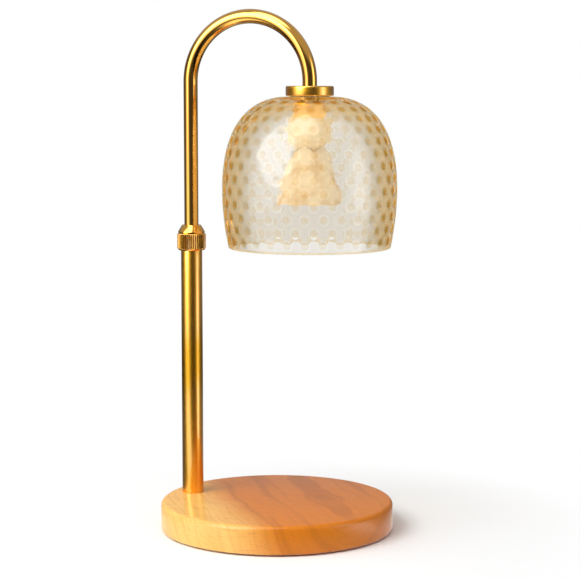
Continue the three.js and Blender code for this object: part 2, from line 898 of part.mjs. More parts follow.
/** The steel strap under the cup's plate that the lampholder hangs from, its top at the origin. */
function holderBracket() {
  const inner = holder_half_width + seat_gap;
  const outer = inner + bracket_thickness;
  const outline = new THREE.Shape();
  outline.moveTo(-outer, 0);
  outline.lineTo(-outer, -bracket_leg_length);
  outline.lineTo(-inner, -bracket_leg_length);
  outline.lineTo(-inner, -bracket_thickness);
  outline.lineTo(inner, -bracket_thickness);
  outline.lineTo(inner, -bracket_leg_length);
  outline.lineTo(outer, -bracket_leg_length);
  outline.lineTo(outer, 0);
  outline.closePath();
  const strap = extrude(outline, 2 * bracket_eye_radius);
  strap.translate(0, 0, -bracket_eye_radius);
  strap.rotateX(Math.PI / 2);
  strap.rotateZ(Math.PI / 2);
  const hole = rod(nipple_hole_radius, bracket_thickness + 2 * overrun, narrow_facets);
  hole.translate(0, 0, -bracket_thickness - overrun);
  const tools = [hole];
  for (const side of [-1, 1]) {
    const screw_hole = rod(bracket_screw_radius + seat_gap, outer + overrun, fine_facets);
    screw_hole.rotateX((-side * Math.PI) / 2);
    screw_hole.translate(0, 0, -bracket_screw_drop);
    tools.push(screw_hole);
  }
  return cut(overlap(strap, bracketPlan()), tools);
}

/** A curved slot round the Z axis, as wide as the circle that travels along it. */
function curvedSlot(half_width) {
  const slot = new THREE.Shape();
  const from = -pin_twist;
  const inner_radius = pin_circle - half_width;
  const end_x = pin_circle * Math.cos(from);
  const end_y = pin_circle * Math.sin(from);
  slot.absarc(0, 0, pin_circle + half_width, from, 0, false);
  slot.absarc(pin_circle, 0, half_width, 0, Math.PI, false);
  slot.absarc(0, 0, inner_radius, 0, from, true);
  slot.absarc(end_x, end_y, half_width, from + Math.PI, from + 2 * Math.PI, false);
  return slot;
}

/** A tool that cuts one curved slot between two heights, on the +X or the -X side. */
function slotTool(half_width, bottom, top, side) {
  const tool = extrude(curvedSlot(half_width), top - bottom, slot_divisions);
  tool.translate(0, 0, bottom);
  tool.rotateZ(side > 0 ? 0 : Math.PI);
  return tool;
}

/** Outline of the lampholder: a disc with two flats for the bracket. */
function holderOutline() {
  const half_angle = Math.asin(holder_half_width / holder_radius);
  const outline = new THREE.Shape();
  outline.absarc(0, 0, holder_radius, -half_angle, half_angle, false);
  outline.absarc(0, 0, holder_radius, Math.PI - half_angle, Math.PI + half_angle, false);
  outline.closePath();
  return outline;
}

/** Height of the ledge that the contacts lie on, above the lampholder's underside. */
function contactHeight() {
  return holder_ledge + seat_gap + pin_head_height + contact_gap;
}

/** The ceramic lampholder, with keyhole slots that take the pins with a short twist. */
function lampholder() {
  const body = extrude(holderOutline(), holder_height, curve_divisions);
  const tools = [];
  const head_clearance = pin_head_radius + seat_gap;
  const neck_clearance = pin_neck_radius + seat_gap;
  const top = holder_height + overrun;
  for (const side of [-1, 1]) {
    tools.push(slotTool(neck_clearance, -overrun, holder_ledge + overrun, side));
    tools.push(slotTool(head_clearance, holder_ledge, top, side));
    tools.push(slotTool(head_clearance + contact_ledge, contactHeight(), top, side));
    const entry = rod(head_clearance, holder_ledge + 2 * overrun, narrow_facets);
    entry.translate(side * pin_circle, 0, -overrun);
    entry.rotateZ(-pin_twist);
    tools.push(entry);
    const screw_hole = rod(bracket_screw_radius + seat_gap, holder_half_width, fine_facets);
    screw_hole.rotateX((-side * Math.PI) / 2);
    const hole_end = holder_half_width + bracket_thickness - bracket_screw_length;
    const screw_height = bracket_top - bracket_screw_drop - holder_bottom;
    screw_hole.translate(0, side * hole_end, screw_height);
    tools.push(screw_hole);
  }
  return cut(body, tools);
}

/** A brass contact plate that lies in the top of a slot. */
function contactPlate() {
  const half_width = pin_head_radius + contact_ledge;
  return extrude(curvedSlot(half_width), contact_thickness, slot_divisions);
}

/** The ceramic base of the bulb, with blind holes for the pins and a plug below. */
function bulbBase() {
  const corners = [
    [0, -bulb_plug_length],
    [bulb_plug_radius, -bulb_plug_length],
    [bulb_plug_radius, 0],
    [bulb_base_radius, 0],
    [bulb_base_radius, bulb_base_thickness],
    [0, bulb_base_thickness],
  ];
  const base = revolve(straightProfile(corners), middle_facets);
  const tools = [];
  for (const side of [-1, 1]) {
    const hole = rod(pin_neck_radius + seat_gap, bulb_base_thickness, fine_facets);
    hole.translate(side * pin_circle, 0, bulb_base_thickness - pin_root - seat_gap);
    tools.push(hole);
  }
  return cut(base, tools);
}

/** A headed contact pin, with its root at the origin. */
function bulbPin() {
  const head_start = pin_root + seat_gap + holder_ledge + seat_gap;
  const top = head_start + pin_head_height;
  const corners = [
    [0, 0],
    [pin_neck_radius, 0],
    [pin_neck_radius, head_start],
    [pin_head_radius, head_start],
    [pin_head_radius, top],
    [0, top],
  ];
  return revolve(straightProfile(corners), fine_facets);
}

/** The flared glass reflector, its face at the origin. */
function bulbReflector() {
  const hole_radius = bulb_plug_radius + seat_gap;
  const flare_height = bulb_length - bulb_rim_height;
  const bend = bulb_rim_height + bulb_flare_share * flare_height;
  const bend_radius = (bulb_radius + bulb_neck_radius) / 2 + bulb_glass;
  const inner_rim = bulb_radius - bulb_glass;
  const step_radius = inner_rim - bulb_glass;
  const step = lens_thickness + 2 * seat_gap;
  const profile = new THREE.Path();
  profile.moveTo(inner_rim, 0);
  profile.lineTo(bulb_radius, 0);
  profile.lineTo(bulb_radius, bulb_rim_height);
  profile.quadraticCurveTo(bend_radius, bend, bulb_neck_radius, bulb_length);
  profile.lineTo(hole_radius, bulb_length);
  profile.lineTo(hole_radius, bulb_length - bulb_plug_length);
  profile.quadraticCurveTo(bend_radius - 2 * bulb_glass, bend, step_radius, step);
  profile.lineTo(inner_rim, step);
  profile.lineTo(inner_rim, 0);
  return revolve(profile, middle_facets, flare_steps);
}

/** The bulb's front lens, slightly domed outwards. */
function bulbLens() {
  const radius = bulb_radius - bulb_glass - seat_gap;
  const profile = new THREE.Path();
  profile.moveTo(0, 0);
  profile.quadraticCurveTo(radius / 2, 0, radius, lens_dome);
  profile.lineTo(radius, lens_thickness);
  profile.lineTo(0, lens_thickness);
  return revolve(profile, middle_facets, curve_divisions);
}

/** The small burner inside the reflector, its top at the origin. */
function bulbCapsule() {
  const profile = new THREE.Path();
  profile.moveTo(0, -capsule_length);
  profile.absarc(0, capsule_radius - capsule_length, capsule_radius, -Math.PI / 2, 0, false);
  profile.lineTo(capsule_radius, 0);
  profile.lineTo(0, 0);
  return revolve(profile, narrow_facets);
}

/** The materials, one new copy for each mesh. */
const finishes = {
  wood: { color: 0xdca462, roughness: 0.4, metalness: 0 },
  steel: { color: 0x8d9094, roughness: 0.5, metalness: 1 },
  pad: { color: 0x1c1a18, roughness: 0.95, metalness: 0 },
  rubber: { color: 0x2a2826, roughness: 0.8, metalness: 0 },
  satin_brass: { color: 0xc08a2e, roughness: 0.35, metalness: 1 },
  bright_brass: { color: 0xd19a35, roughness: 0.18, metalness: 1 },
  nylon: { color: 0xe6e2d8, roughness: 0.6, metalness: 0 },
  silicone: { color: 0xd9d4c8, roughness: 0.7, metalness: 0 },
  shade_glass: { color: 0xe9d9b8, roughness: 0.08, metalness: 0, transparent: true, opacity: 0.4 },
  bulb_glass: { color: 0xf6ead0, roughness: 0.1, metalness: 0, transparent: true, opacity: 0.6 },
  ceramic: { color: 0xf2ede2, roughness: 0.55, metalness: 0 },
};

/** Adds one named piece to a group at its place. */
function addPiece(group, name, geometry, finish, place) {
  const material = new THREE.MeshStandardMaterial(finishes[finish]);
  const mesh = new THREE.Mesh(geometry, material);
  mesh.name = name;
  mesh.position.set(...place);
  group.add(mesh);
  return mesh;
}

/** The base with everything that is fixed under it. */
function buildBase() {
  const base = new THREE.Group();
  addPiece(base, "base_disc", baseDisc(), "wood", [0, 0, 0]);
  addPiece(base, "base_weight", baseWeight(), "steel", [0, 0, pad_thickness + seat_gap]);
  addPiece(base, "foot_pad", footPad(), "pad", [0, 0, 0]);
  weightScrewPlaces().forEach((place, index) => {
    const geometry = screw(
      weight_screw_radius,
      weight_screw_length,
      weight_screw_head_radius,
      weight_screw_head_height,
    );
    const name = `weight_screw_${index + 1}`;
    addPiece(base, name, geometry, "steel", [place.x, place.y, weightScrewSeat()]);
  });
  const inlet_x = -base_radius - seat_gap;
  const grommet = addPiece(base, "cord_grommet", cordGrommet(), "rubber", [inlet_x, 0, inlet_height]);
  grommet.rotation.y = Math.PI / 2;
  return base;
}

/** The post, its fixings and the collet, round the post's axis. */
function buildPost() {
  const post = new THREE.Group();
  post.position.x = -post_offset;
  const washer = ring(
    nippleClearRadius(),
    post_washer_radius,
    post_washer_thickness,
    middle_facets,
  );
  const nut = hexNut(post_nut_flats, nippleClearRadius(), post_nut_height);
  addPiece(post, "post_washer", washer, "steel", [0, 0, washer_top - post_washer_thickness]);
  addPiece(post, "post_nut", nut, "steel", [0, 0, nut_bottom]);
  addPiece(post, "post_nipple", postNipple(), "steel", [0, 0, nut_bottom - post_nipple_end]);
  addPiece(post, "lower_post", lowerPost(), "satin_brass", [0, 0, base_height]);
  addPiece(post, "clamp_collet", clampCollet(), "nylon", [0, 0, post_top + seat_gap]);
  addPiece(post, "lock_collar", lockCollar(), "bright_brass", [0, 0, collar_bottom]);
  return post;
}

/** The arm with its bush and clips, round the post's axis. */
function buildArm() {
  const arm = new THREE.Group();
  arm.position.set(-post_offset, 0, arm_bottom);
  const grooves = clipGrooveHeights();
  addPiece(arm, "arm_tube", armTube(), "bright_brass", [0, 0, 0]);
  addPiece(arm, "guide_bush", guideBush(), "nylon", [0, 0, grooves.lower + grooves.groove_height]);
  addPiece(arm, "lower_clip", bushClip(), "steel", [0, 0, grooves.lower + seat_gap]);
  addPiece(arm, "upper_clip", bushClip(), "steel", [0, 0, grooves.upper + seat_gap]);
  return arm;
}

/** The shade and what clamps it, round the shade's axis. */
function buildShade() {
  const shade = new THREE.Group();
  shade.position.x = shade_offset;
  addPiece(shade, "shade_cap", shadeCap(), "satin_brass", [0, 0, cap_bottom]);
  addPiece(shade, "arm_nipple", armNipple(), "steel", [0, 0, nipple_bottom]);
  addPiece(shade, "upper_gasket", upperGasket(), "silicone", [0, 0, shade_top]);
  addPiece(shade, "glass_shade", glassShade(), "shade_glass", [0, 0, shade_bottom]);
  addPiece(shade, "lower_gasket", lowerGasket(), "silicone", [0, 0, neck_top]);
  addPiece(shade, "neck_sleeve", neckSleeve(), "satin_brass", [0, 0, cup_top]);
  return shade;
}

/** The holder cup with the lampholder inside, round the shade's axis. */
function buildHolder() {
  const holder = new THREE.Group();
  holder.position.x = shade_offset;
  const nut = hexNut(holder_nut_flats, nipple_hole_radius, holder_nut_height);
  const washer = ring(
    nipple_hole_radius,
    holder_washer_radius,
    holder_washer_thickness,
    narrow_facets,
  );
  addPiece(holder, "holder_cup", holderCup(), "satin_brass", [0, 0, cup_top - cup_height]);
  addPiece(holder, "holder_washer", washer, "steel", [0, 0, bracket_top]);
  addPiece(holder, "holder_bracket", holderBracket(), "steel", [0, 0, bracket_top]);
  addPiece(holder, "holder_nut", nut, "steel", [0, 0, holder_nut_bottom]);
  addPiece(holder, "lampholder", lampholder(), "ceramic", [0, 0, holder_bottom]);
  [1, -1].forEach((side, index) => {
    const contact = addPiece(
      holder,
      `contact_${index + 1}`,
      contactPlate(),
      "satin_brass",
      [0, 0, holder_bottom + contactHeight()],
    );
    contact.rotation.z = side > 0 ? 0 : Math.PI;
    const geometry = screw(
      bracket_screw_radius,
      bracket_screw_length,
      bracket_screw_head_radius,
      bracket_screw_head_height,
    );
    geometry.rotateX((side * Math.PI) / 2);
    const seat = holder_half_width + bracket_thickness + 2 * seat_gap;
    const height = bracket_top - bracket_screw_drop;
    addPiece(holder, `bracket_screw_${index + 1}`, geometry, "steel", [0, side * seat, height]);
  });
  return holder;
}

/** The plug-in reflector bulb, round the shade's axis. */
function buildBulb() {
  const bulb = new THREE.Group();
  bulb.position.x = shade_offset;
  const base_bottom = bulb_base_top - bulb_base_thickness;
  const lens_bottom = bulb_face + seat_gap;
  const capsule_top = base_bottom - bulb_plug_length - seat_gap;
  addPiece(bulb, "bulb_base", bulbBase(), "ceramic", [0, 0, base_bottom]);
  [1, -1].forEach((side, index) => {
    const place = [side * pin_circle, 0, bulb_base_top - pin_root];
    addPiece(bulb, `bulb_pin_${index + 1}`, bulbPin(), "steel", place);
  });
  addPiece(bulb, "bulb_reflector", bulbReflector(), "bulb_glass", [0, 0, bulb_face]);
  addPiece(bulb, "bulb_lens", bulbLens(), "bulb_glass", [0, 0, lens_bottom]);
  addPiece(bulb, "bulb_capsule", bulbCapsule(), "bulb_glass", [0, 0, capsule_top]);
  return bulb;
}

const lamp = new THREE.Group();
lamp.name = "candle_warmer";
lamp.add(buildBase(), buildPost(), buildArm(), buildShade(), buildHolder(), buildBulb());

export default lamp;
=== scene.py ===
"""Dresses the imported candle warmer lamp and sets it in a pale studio.

The lamp has a lacquered wooden base, a satin brass post with a knurled lock collar, a polished
arched arm, and a dimpled champagne glass shade over a small reflector bulb. Everything is in
metres, +Z up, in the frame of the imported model. Sizes of pieces are in millimetres.
"""

import json
import logging
import math
from collections.abc import Callable, Iterable, Sequence
from dataclasses import dataclass, field
from enum import Enum

import bmesh
import bpy
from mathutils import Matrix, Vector
from mathutils.kdtree import KDTree


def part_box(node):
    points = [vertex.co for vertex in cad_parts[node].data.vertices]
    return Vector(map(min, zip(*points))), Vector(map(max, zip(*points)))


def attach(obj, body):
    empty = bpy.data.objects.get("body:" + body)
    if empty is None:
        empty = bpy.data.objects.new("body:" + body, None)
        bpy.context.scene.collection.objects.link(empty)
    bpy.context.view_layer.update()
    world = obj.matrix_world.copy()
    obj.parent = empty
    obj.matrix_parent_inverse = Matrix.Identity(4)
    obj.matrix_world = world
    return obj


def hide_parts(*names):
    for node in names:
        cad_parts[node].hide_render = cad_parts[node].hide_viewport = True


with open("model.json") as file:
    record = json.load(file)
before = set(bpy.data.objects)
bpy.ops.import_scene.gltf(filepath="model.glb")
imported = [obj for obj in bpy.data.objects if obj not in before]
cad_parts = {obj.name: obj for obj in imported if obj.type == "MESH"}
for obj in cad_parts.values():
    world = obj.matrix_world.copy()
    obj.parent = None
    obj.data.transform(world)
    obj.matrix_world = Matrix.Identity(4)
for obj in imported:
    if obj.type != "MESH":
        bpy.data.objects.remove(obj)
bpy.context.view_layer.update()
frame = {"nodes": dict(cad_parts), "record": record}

LOG = logging.getLogger("candle_warmer")
MM = 0.001
UP = Vector((0.0, 0.0, 1.0))
Colour = tuple[float, float, float]
Triple = tuple[float, float, float]
Corner = Triple
Pair = tuple[float, float]
WHITE: Colour = (1.0, 1.0, 1.0)
ORIGIN: Pair = (0.0, 0.0)


# Shader nodes


class Signal:
    """A value, colour or vector inside a shader, which takes part in Python sums."""

    def __init__(self, graph: "Graph", socket: bpy.types.NodeSocket) -> None:
        """Wraps one of a shader's output sockets."""
        self.graph = graph
        self.socket = socket

    def _sum(self, operation: str, first: object, second: object) -> "Signal":
        """Adds one Math node and returns its output."""
        return self.graph.node("ShaderNodeMath", {"operation": operation}, {0: first, 1: second})

    def __add__(self, other: object) -> "Signal":
        """Returns self + other."""
        return self._sum("ADD", self, other)

    def __radd__(self, other: object) -> "Signal":
        """Returns other + self."""
        return self._sum("ADD", other, self)

    def __sub__(self, other: object) -> "Signal":
        """Returns self - other."""
        return self._sum("SUBTRACT", self, other)

    def __rsub__(self, other: object) -> "Signal":
        """Returns other - self."""
        return self._sum("SUBTRACT", other, self)

    def __mul__(self, other: object) -> "Signal":
        """Returns self * other."""
        return self._sum("MULTIPLY", self, other)

    def __rmul__(self, other: object) -> "Signal":
        """Returns other * self."""
        return self._sum("MULTIPLY", other, self)

    def either(self, other: object) -> "Signal":
        """Returns the larger of self and other."""
        return self._sum("MAXIMUM", self, other)

    def clamped(self, low: float, high: float) -> "Signal":
        """Maps low..high smoothly onto 0..1, which the result never leaves."""
        settings = {"interpolation_type": "SMOOTHSTEP"}
        return self.graph.node("ShaderNodeMapRange", settings, {0: self, 1: low, 2: high})


class Graph:
    """The nodes of one material, or of the world."""

    def __init__(self, owner: bpy.types.Material | bpy.types.World) -> None:
        """Empties the owner's node tree.

        Args:
            owner: The material or the world.
        """
        owner.use_nodes = True
        self.owner = owner
        self.in_world = isinstance(owner, bpy.types.World)
        self.tree = owner.node_tree
        self.tree.nodes.clear()

    def node(
        self,
        kind: str,
        settings: dict[str, object] | None = None,
        inputs: dict[int | str, object] | None = None,
        output: int | str = 0,
    ) -> Signal:
        """Adds one node.

        Args:
            kind: The node's type.
            settings: Properties that are set first, with "stops" for a ramp's colours.
            inputs: A signal or a plain value for each named or numbered input.
            output: Which output to return.

        Returns:
            The chosen output as a signal.
        """
        made = self.tree.nodes.new(kind)
        for name, value in (settings or {}).items():
            if name == "stops":
                self._set_stops(made.color_ramp, value)
            else:
                setattr(made, name, value)
        for key, value in (inputs or {}).items():
            socket = made.inputs[key]
            if isinstance(value, Signal):
                self.tree.links.new(value.socket, socket)
            elif socket.type == "RGBA":
                socket.default_value = (*value, 1.0)
            else:
                socket.default_value = value
        return Signal(self, made.outputs[output])

    @staticmethod
    def _set_stops(ramp: bpy.types.ColorRamp, stops: Sequence[tuple[float, Colour]]) -> None:
        """Gives a colour ramp its stops.

        Args:
            ramp: The ramp of a new node.
            stops: The position from 0 to 1 and the colour of each stop.
        """
        while len(ramp.elements) < len(stops):
            ramp.elements.new(1.0)
        for element, (position, colour) in zip(ramp.elements, stops):
            element.position = position
            element.color = (*colour, 1.0)

    def place(self, origin: Triple = (0.0, 0.0, 0.0), turn: float = 0.0,
              stretch: Triple = (1.0, 1.0, 1.0)) -> Signal:
        """Object coordinates of a pattern that is moved, turned and stretched.

        Args:
            origin: Where the pattern's middle lies, in metres.
            turn: The pattern's turn round the Z axis, in degrees.
            stretch: How far the pattern is stretched along each of its own axes.

        Returns:
            The coordinate as a vector signal.
        """
        spot = self.node("ShaderNodeTexCoord", output="Object")
        inputs = {"Vector": spot, "Location": origin, "Scale": stretch}
        inputs["Rotation"] = (0.0, 0.0, math.radians(turn))
        return self.node("ShaderNodeMapping", {"vector_type": "TEXTURE"}, inputs)

    def level(self) -> Signal:
        """The height over the floor, in metres."""
        return self.split(self.place())[2]

    def split(self, vector: Signal) -> tuple[Signal, ...]:
        """The three parts of a vector."""
        made = self.node("ShaderNodeSeparateXYZ", inputs={0: vector}).socket.node
        return tuple(Signal(self, output) for output in made.outputs)

    def vector(self, x: object, y: object, z: object) -> Signal:
        """A vector from its three parts."""
        return self.node("ShaderNodeCombineXYZ", inputs={0: x, 1: y, 2: z})

    def length(self, vector: Signal) -> Signal:
        """The length of a vector."""
        return self.node("ShaderNodeVectorMath", {"operation": "LENGTH"}, {0: vector}, "Value")

    def noise(self, where: Signal, per_metre: float, layers: float) -> Signal:
        """Soft noise between 0 and 1, with a number of finer layers in it."""
        inputs = {"Vector": where, "Scale": per_metre, "Detail": layers}
        return self.node("ShaderNodeTexNoise", inputs=inputs)

    def mix(self, factor: Signal | float, first: object, second: object) -> Signal:
        """Blends two colours: 0 gives the first and 1 the second."""
        inputs = {0: factor, 6: first, 7: second}
        return self.node("ShaderNodeMix", {"data_type": "RGBA"}, inputs, output=2)

    def mix_shaders(self, factor: Signal | float, first: Signal, second: Signal) -> Signal:
        """Blends two shaders: 0 gives the first and 1 the second."""
        return self.node("ShaderNodeMixShader", inputs={0: factor, 1: first, 2: second})

    def bump(self, height: Signal, strength: float, rise: float) -> Signal:
        """A normal that follows a height, whose step from 0 to 1 is a rise in metres."""
        inputs = {"Height": height, "Strength": strength, "Distance": rise}
        return self.node("ShaderNodeBump", inputs=inputs)

    def ray(self, kind: str) -> Signal:
        """1 for rays of one kind, such as "Is Camera Ray", and 0 for all others."""
        return self.node("ShaderNodeLightPath", output=kind)

    def principled(self, inputs: dict[int | str, object]) -> Signal:
        """The main shader, with the given inputs."""
        return self.node("ShaderNodeBsdfPrincipled", inputs=inputs)

    def veil(self, colour: Colour) -> Signal:
        """A shader that light passes straight through, tinted."""
        return self.node("ShaderNodeBsdfTransparent", inputs={"Color": colour})

    def glow(self, colour: object, strength: float) -> Signal:
        """A shader that shines, in the world or on a surface."""
        kind = "ShaderNodeBackground" if self.in_world else "ShaderNodeEmission"
        return self.node(kind, inputs={"Color": colour, "Strength": strength})

    def finish(self, surface: Signal, volume: Signal | None = None) -> bpy.types.ID:
        """Wires the shader to the output.

        Args:
            surface: The surface shader.
            volume: The volume shader, where there is one.

        Returns:
            The finished material or world.
        """
        kind = "ShaderNodeOutputWorld" if self.in_world else "ShaderNodeOutputMaterial"
        output = self.tree.nodes.new(kind)
        self.tree.links.new(surface.socket, output.inputs["Surface"])
        if volume is not None:
            self.tree.links.new(volume.socket, output.inputs["Volume"])
        return self.owner


# Finishes


@dataclass(frozen=True)
class Mask:
    """Where a pattern begins to show, where it is full, and how much of it is laid on."""

    start: float
    full: float
    share: float = 1.0

    def of(self, pattern: Signal) -> Signal:
        """How much is laid on at each place of a pattern."""
        return pattern.clamped(self.start, self.full) * self.share


@dataclass(frozen=True)
class Grain:
    """Soft noise: its fineness, the finer layers in it, and its stretch along the axes."""

    per_metre: float
    layers: float = 3.0
    stretch: Triple = (1.0, 1.0, 1.0)

    def on(self, graph: Graph) -> Signal:
        """The noise at each place of a piece."""
        return graph.noise(graph.place(stretch=self.stretch), self.per_metre, self.layers)


class Finisher:
    """Anything that makes one material. A relief is a bump's strength and its height in metres."""

    name: str

    def graph(self) -> Graph:
        """Starts the material's nodes."""
        return Graph(bpy.data.materials.new(self.name))


@dataclass(frozen=True)
class WoodFinish(Finisher):
    """Softwood under a clear lacquer, with its rings round a pith that runs past the disc."""

    name: str = "lacquered_pine"
    sapwood: Colour = (0.94, 0.54, 0.15)
    heartwood: Colour = (0.72, 0.21, 0.01)
    late_wood: Colour = (0.44, 0.12, 0.01)
    pith: Triple = (0.021, 0.016, 0.025)
    grain_turn: float = -52.6
    bend: Grain = Grain(22.0, stretch=(1.0, 1.0, 2.0))
    bend_reach: float = 0.012
    change_along: float = 0.05
    rings_per_metre: float = 105.0
    ring_layers: float = 3.0
    lines_per_metre: float = 620.0
    line_layers: float = 2.0
    fibre: Grain = Grain(1500.0, 2.0, (30.0, 1.0, 1.0))
    heart_end: Mask = Mask(0.048, 0.078)
    streaks: Mask = Mask(0.48, 0.68)
    sap_streaks: float = 0.12
    heart_streaks: float = 0.5
    lines: Mask = Mask(0.52, 0.62, 0.15)
    pores: Mask = Mask(0.5, 0.75, 0.3)
    roughness: float = 0.4
    fibre_roughness: float = 0.1
    gloss: float = 0.12
    lacquer: float = 0.5
    lacquer_roughness: float = 0.05
    relief: Pair = (0.15, 0.00004)

    def material(self) -> bpy.types.Material:
        """Builds the material.

        Returns:
            The new material.
        """
        graph = self.graph()
        along, across, above = graph.split(graph.place(self.pith, self.grain_turn))
        radius = graph.length(graph.vector(0.0, across, above))
        radius = radius + self.bend.on(graph) * self.bend_reach
        spot = graph.vector(radius, along * self.change_along, 0.0)
        growth = graph.noise(spot, self.rings_per_metre, self.ring_layers)
        thin = graph.noise(spot, self.lines_per_metre, self.line_layers)
        fibre = self.fibre.on(graph)
        heart = 1.0 - self.heart_end.of(radius)
        streak = self.streaks.of(growth) * (heart * self.heart_streaks + self.sap_streaks)
        colour = graph.mix(heart, self.sapwood, self.heartwood)
        for mark in (streak, self.lines.of(thin), self.pores.of(fibre)):
            colour = graph.mix(mark, colour, self.late_wood)
        surface = graph.principled(
            {
                "Base Color": colour,
                "Roughness": fibre * self.fibre_roughness + self.roughness,
                "Specular IOR Level": self.gloss,
                "Coat Weight": self.lacquer,
                "Coat Roughness": self.lacquer_roughness,
                "Normal": graph.bump(fibre, *self.relief),
            }
        )
        return graph.finish(surface)


@dataclass(frozen=True)
class BrassFinish(Finisher):
    """Lacquered brass, from polished to satin, with its brushing along the pattern's Z axis.

    A band, given by its two levels in metres, is rougher than the rest and painted darker, as
    painted shade between the knurl's ribs.
    """

    name: str
    colour: Colour
    shade: Colour
    roughness: float
    brushing: float
    band: Pair | None = None
    band_edge: float = 0.0002
    # colour of the band: painted shade, darker than the brass, standing for the shade between the
    # knurl's ribs
    band_colour: Colour = (0.62, 0.3, 0.02)
    band_roughness: float = 0.35
    hairline: Grain = Grain(4200.0, 2.0, (1.0, 1.0, 20.0))
    cloud: Grain = Grain(60.0)
    cloud_roughness: float = 0.04
    tarnish: Mask = Mask(0.35, 0.75, 0.35)
    lacquer_roughness: float = 0.04
    lacquer_ior: float = 1.8
    relief: Pair = (0.06, 0.00001)

    def material(self) -> bpy.types.Material:
        """Builds the material.

        Returns:
            The new material.
        """
        graph = self.graph()
        hairline = self.hairline.on(graph)
        cloud = self.cloud.on(graph)
        colour = graph.mix(self.tarnish.of(cloud), self.colour, self.shade)
        roughness = hairline * self.brushing + cloud * self.cloud_roughness + self.roughness
        if self.band is not None:
            low, high = self.band
            level = graph.level()
            under = level.clamped(high, high + self.band_edge)
            inside = level.clamped(low, low + self.band_edge) * (1.0 - under)
            # painted shade: the band is darkened; its extra roughness is the band's own
            colour = graph.mix(inside, colour, self.band_colour)
            roughness = roughness + inside * self.band_roughness
        surface = graph.principled(
            {
                "Base Color": colour,
                "Metallic": 1.0,
                "Roughness": roughness,
                "Coat Weight": 1.0,
                "Coat Roughness": self.lacquer_roughness,
                "Coat IOR": self.lacquer_ior,
                "Normal": graph.bump(hairline, *self.relief),
            }
        )
        return graph.finish(surface)


@dataclass(frozen=True)
class SteelFinish(Finisher):
    """Zinc-plated steel of the hidden fixings."""

    name: str = "zinc_plated_steel"
    colour: Colour = (0.56, 0.57, 0.59)
    dull_colour: Colour = (0.44, 0.43, 0.36)
    cloud: Grain = Grain(180.0, 4.0)
    tarnish: Mask = Mask(0.4, 0.7, 0.3)
    roughness: float = 0.25
    cloud_roughness: float = 0.2

    def material(self) -> bpy.types.Material:
        """Builds the material.

        Returns:
            The new material.
        """
        graph = self.graph()
        cloud = self.cloud.on(graph)
        colour = graph.mix(self.tarnish.of(cloud), self.colour, self.dull_colour)
        roughness = cloud * self.cloud_roughness + self.roughness
        inputs = {"Base Color": colour, "Metallic": 1.0, "Roughness": roughness}
        return graph.finish(graph.principled(inputs))


@dataclass(frozen=True)
class PlainFinish(Finisher):
    """Rubber, foam, nylon or ceramic: a grainy solid colour."""

    name: str
    colour: Colour
    roughness: float
    grain_per_metre: float
    rise: float
    shade_share: float = 0.78
    speckle: Mask = Mask(0.4, 0.8)
    grain_roughness: float = 0.15
    bump_strength: float = 0.4

    def material(self) -> bpy.types.Material:
        """Builds the material.

        Returns:
            The new material.
        """
        graph = self.graph()
        grain = Grain(self.grain_per_metre).on(graph)
        darker = tuple(part * self.shade_share for part in self.colour)
        surface = graph.principled(
            {
                "Base Color": graph.mix(self.speckle.of(grain), self.colour, darker),
                "Roughness": grain * self.grain_roughness + self.roughness,
                "Normal": graph.bump(grain, self.bump_strength, self.rise),
            }
        )
        return graph.finish(surface)


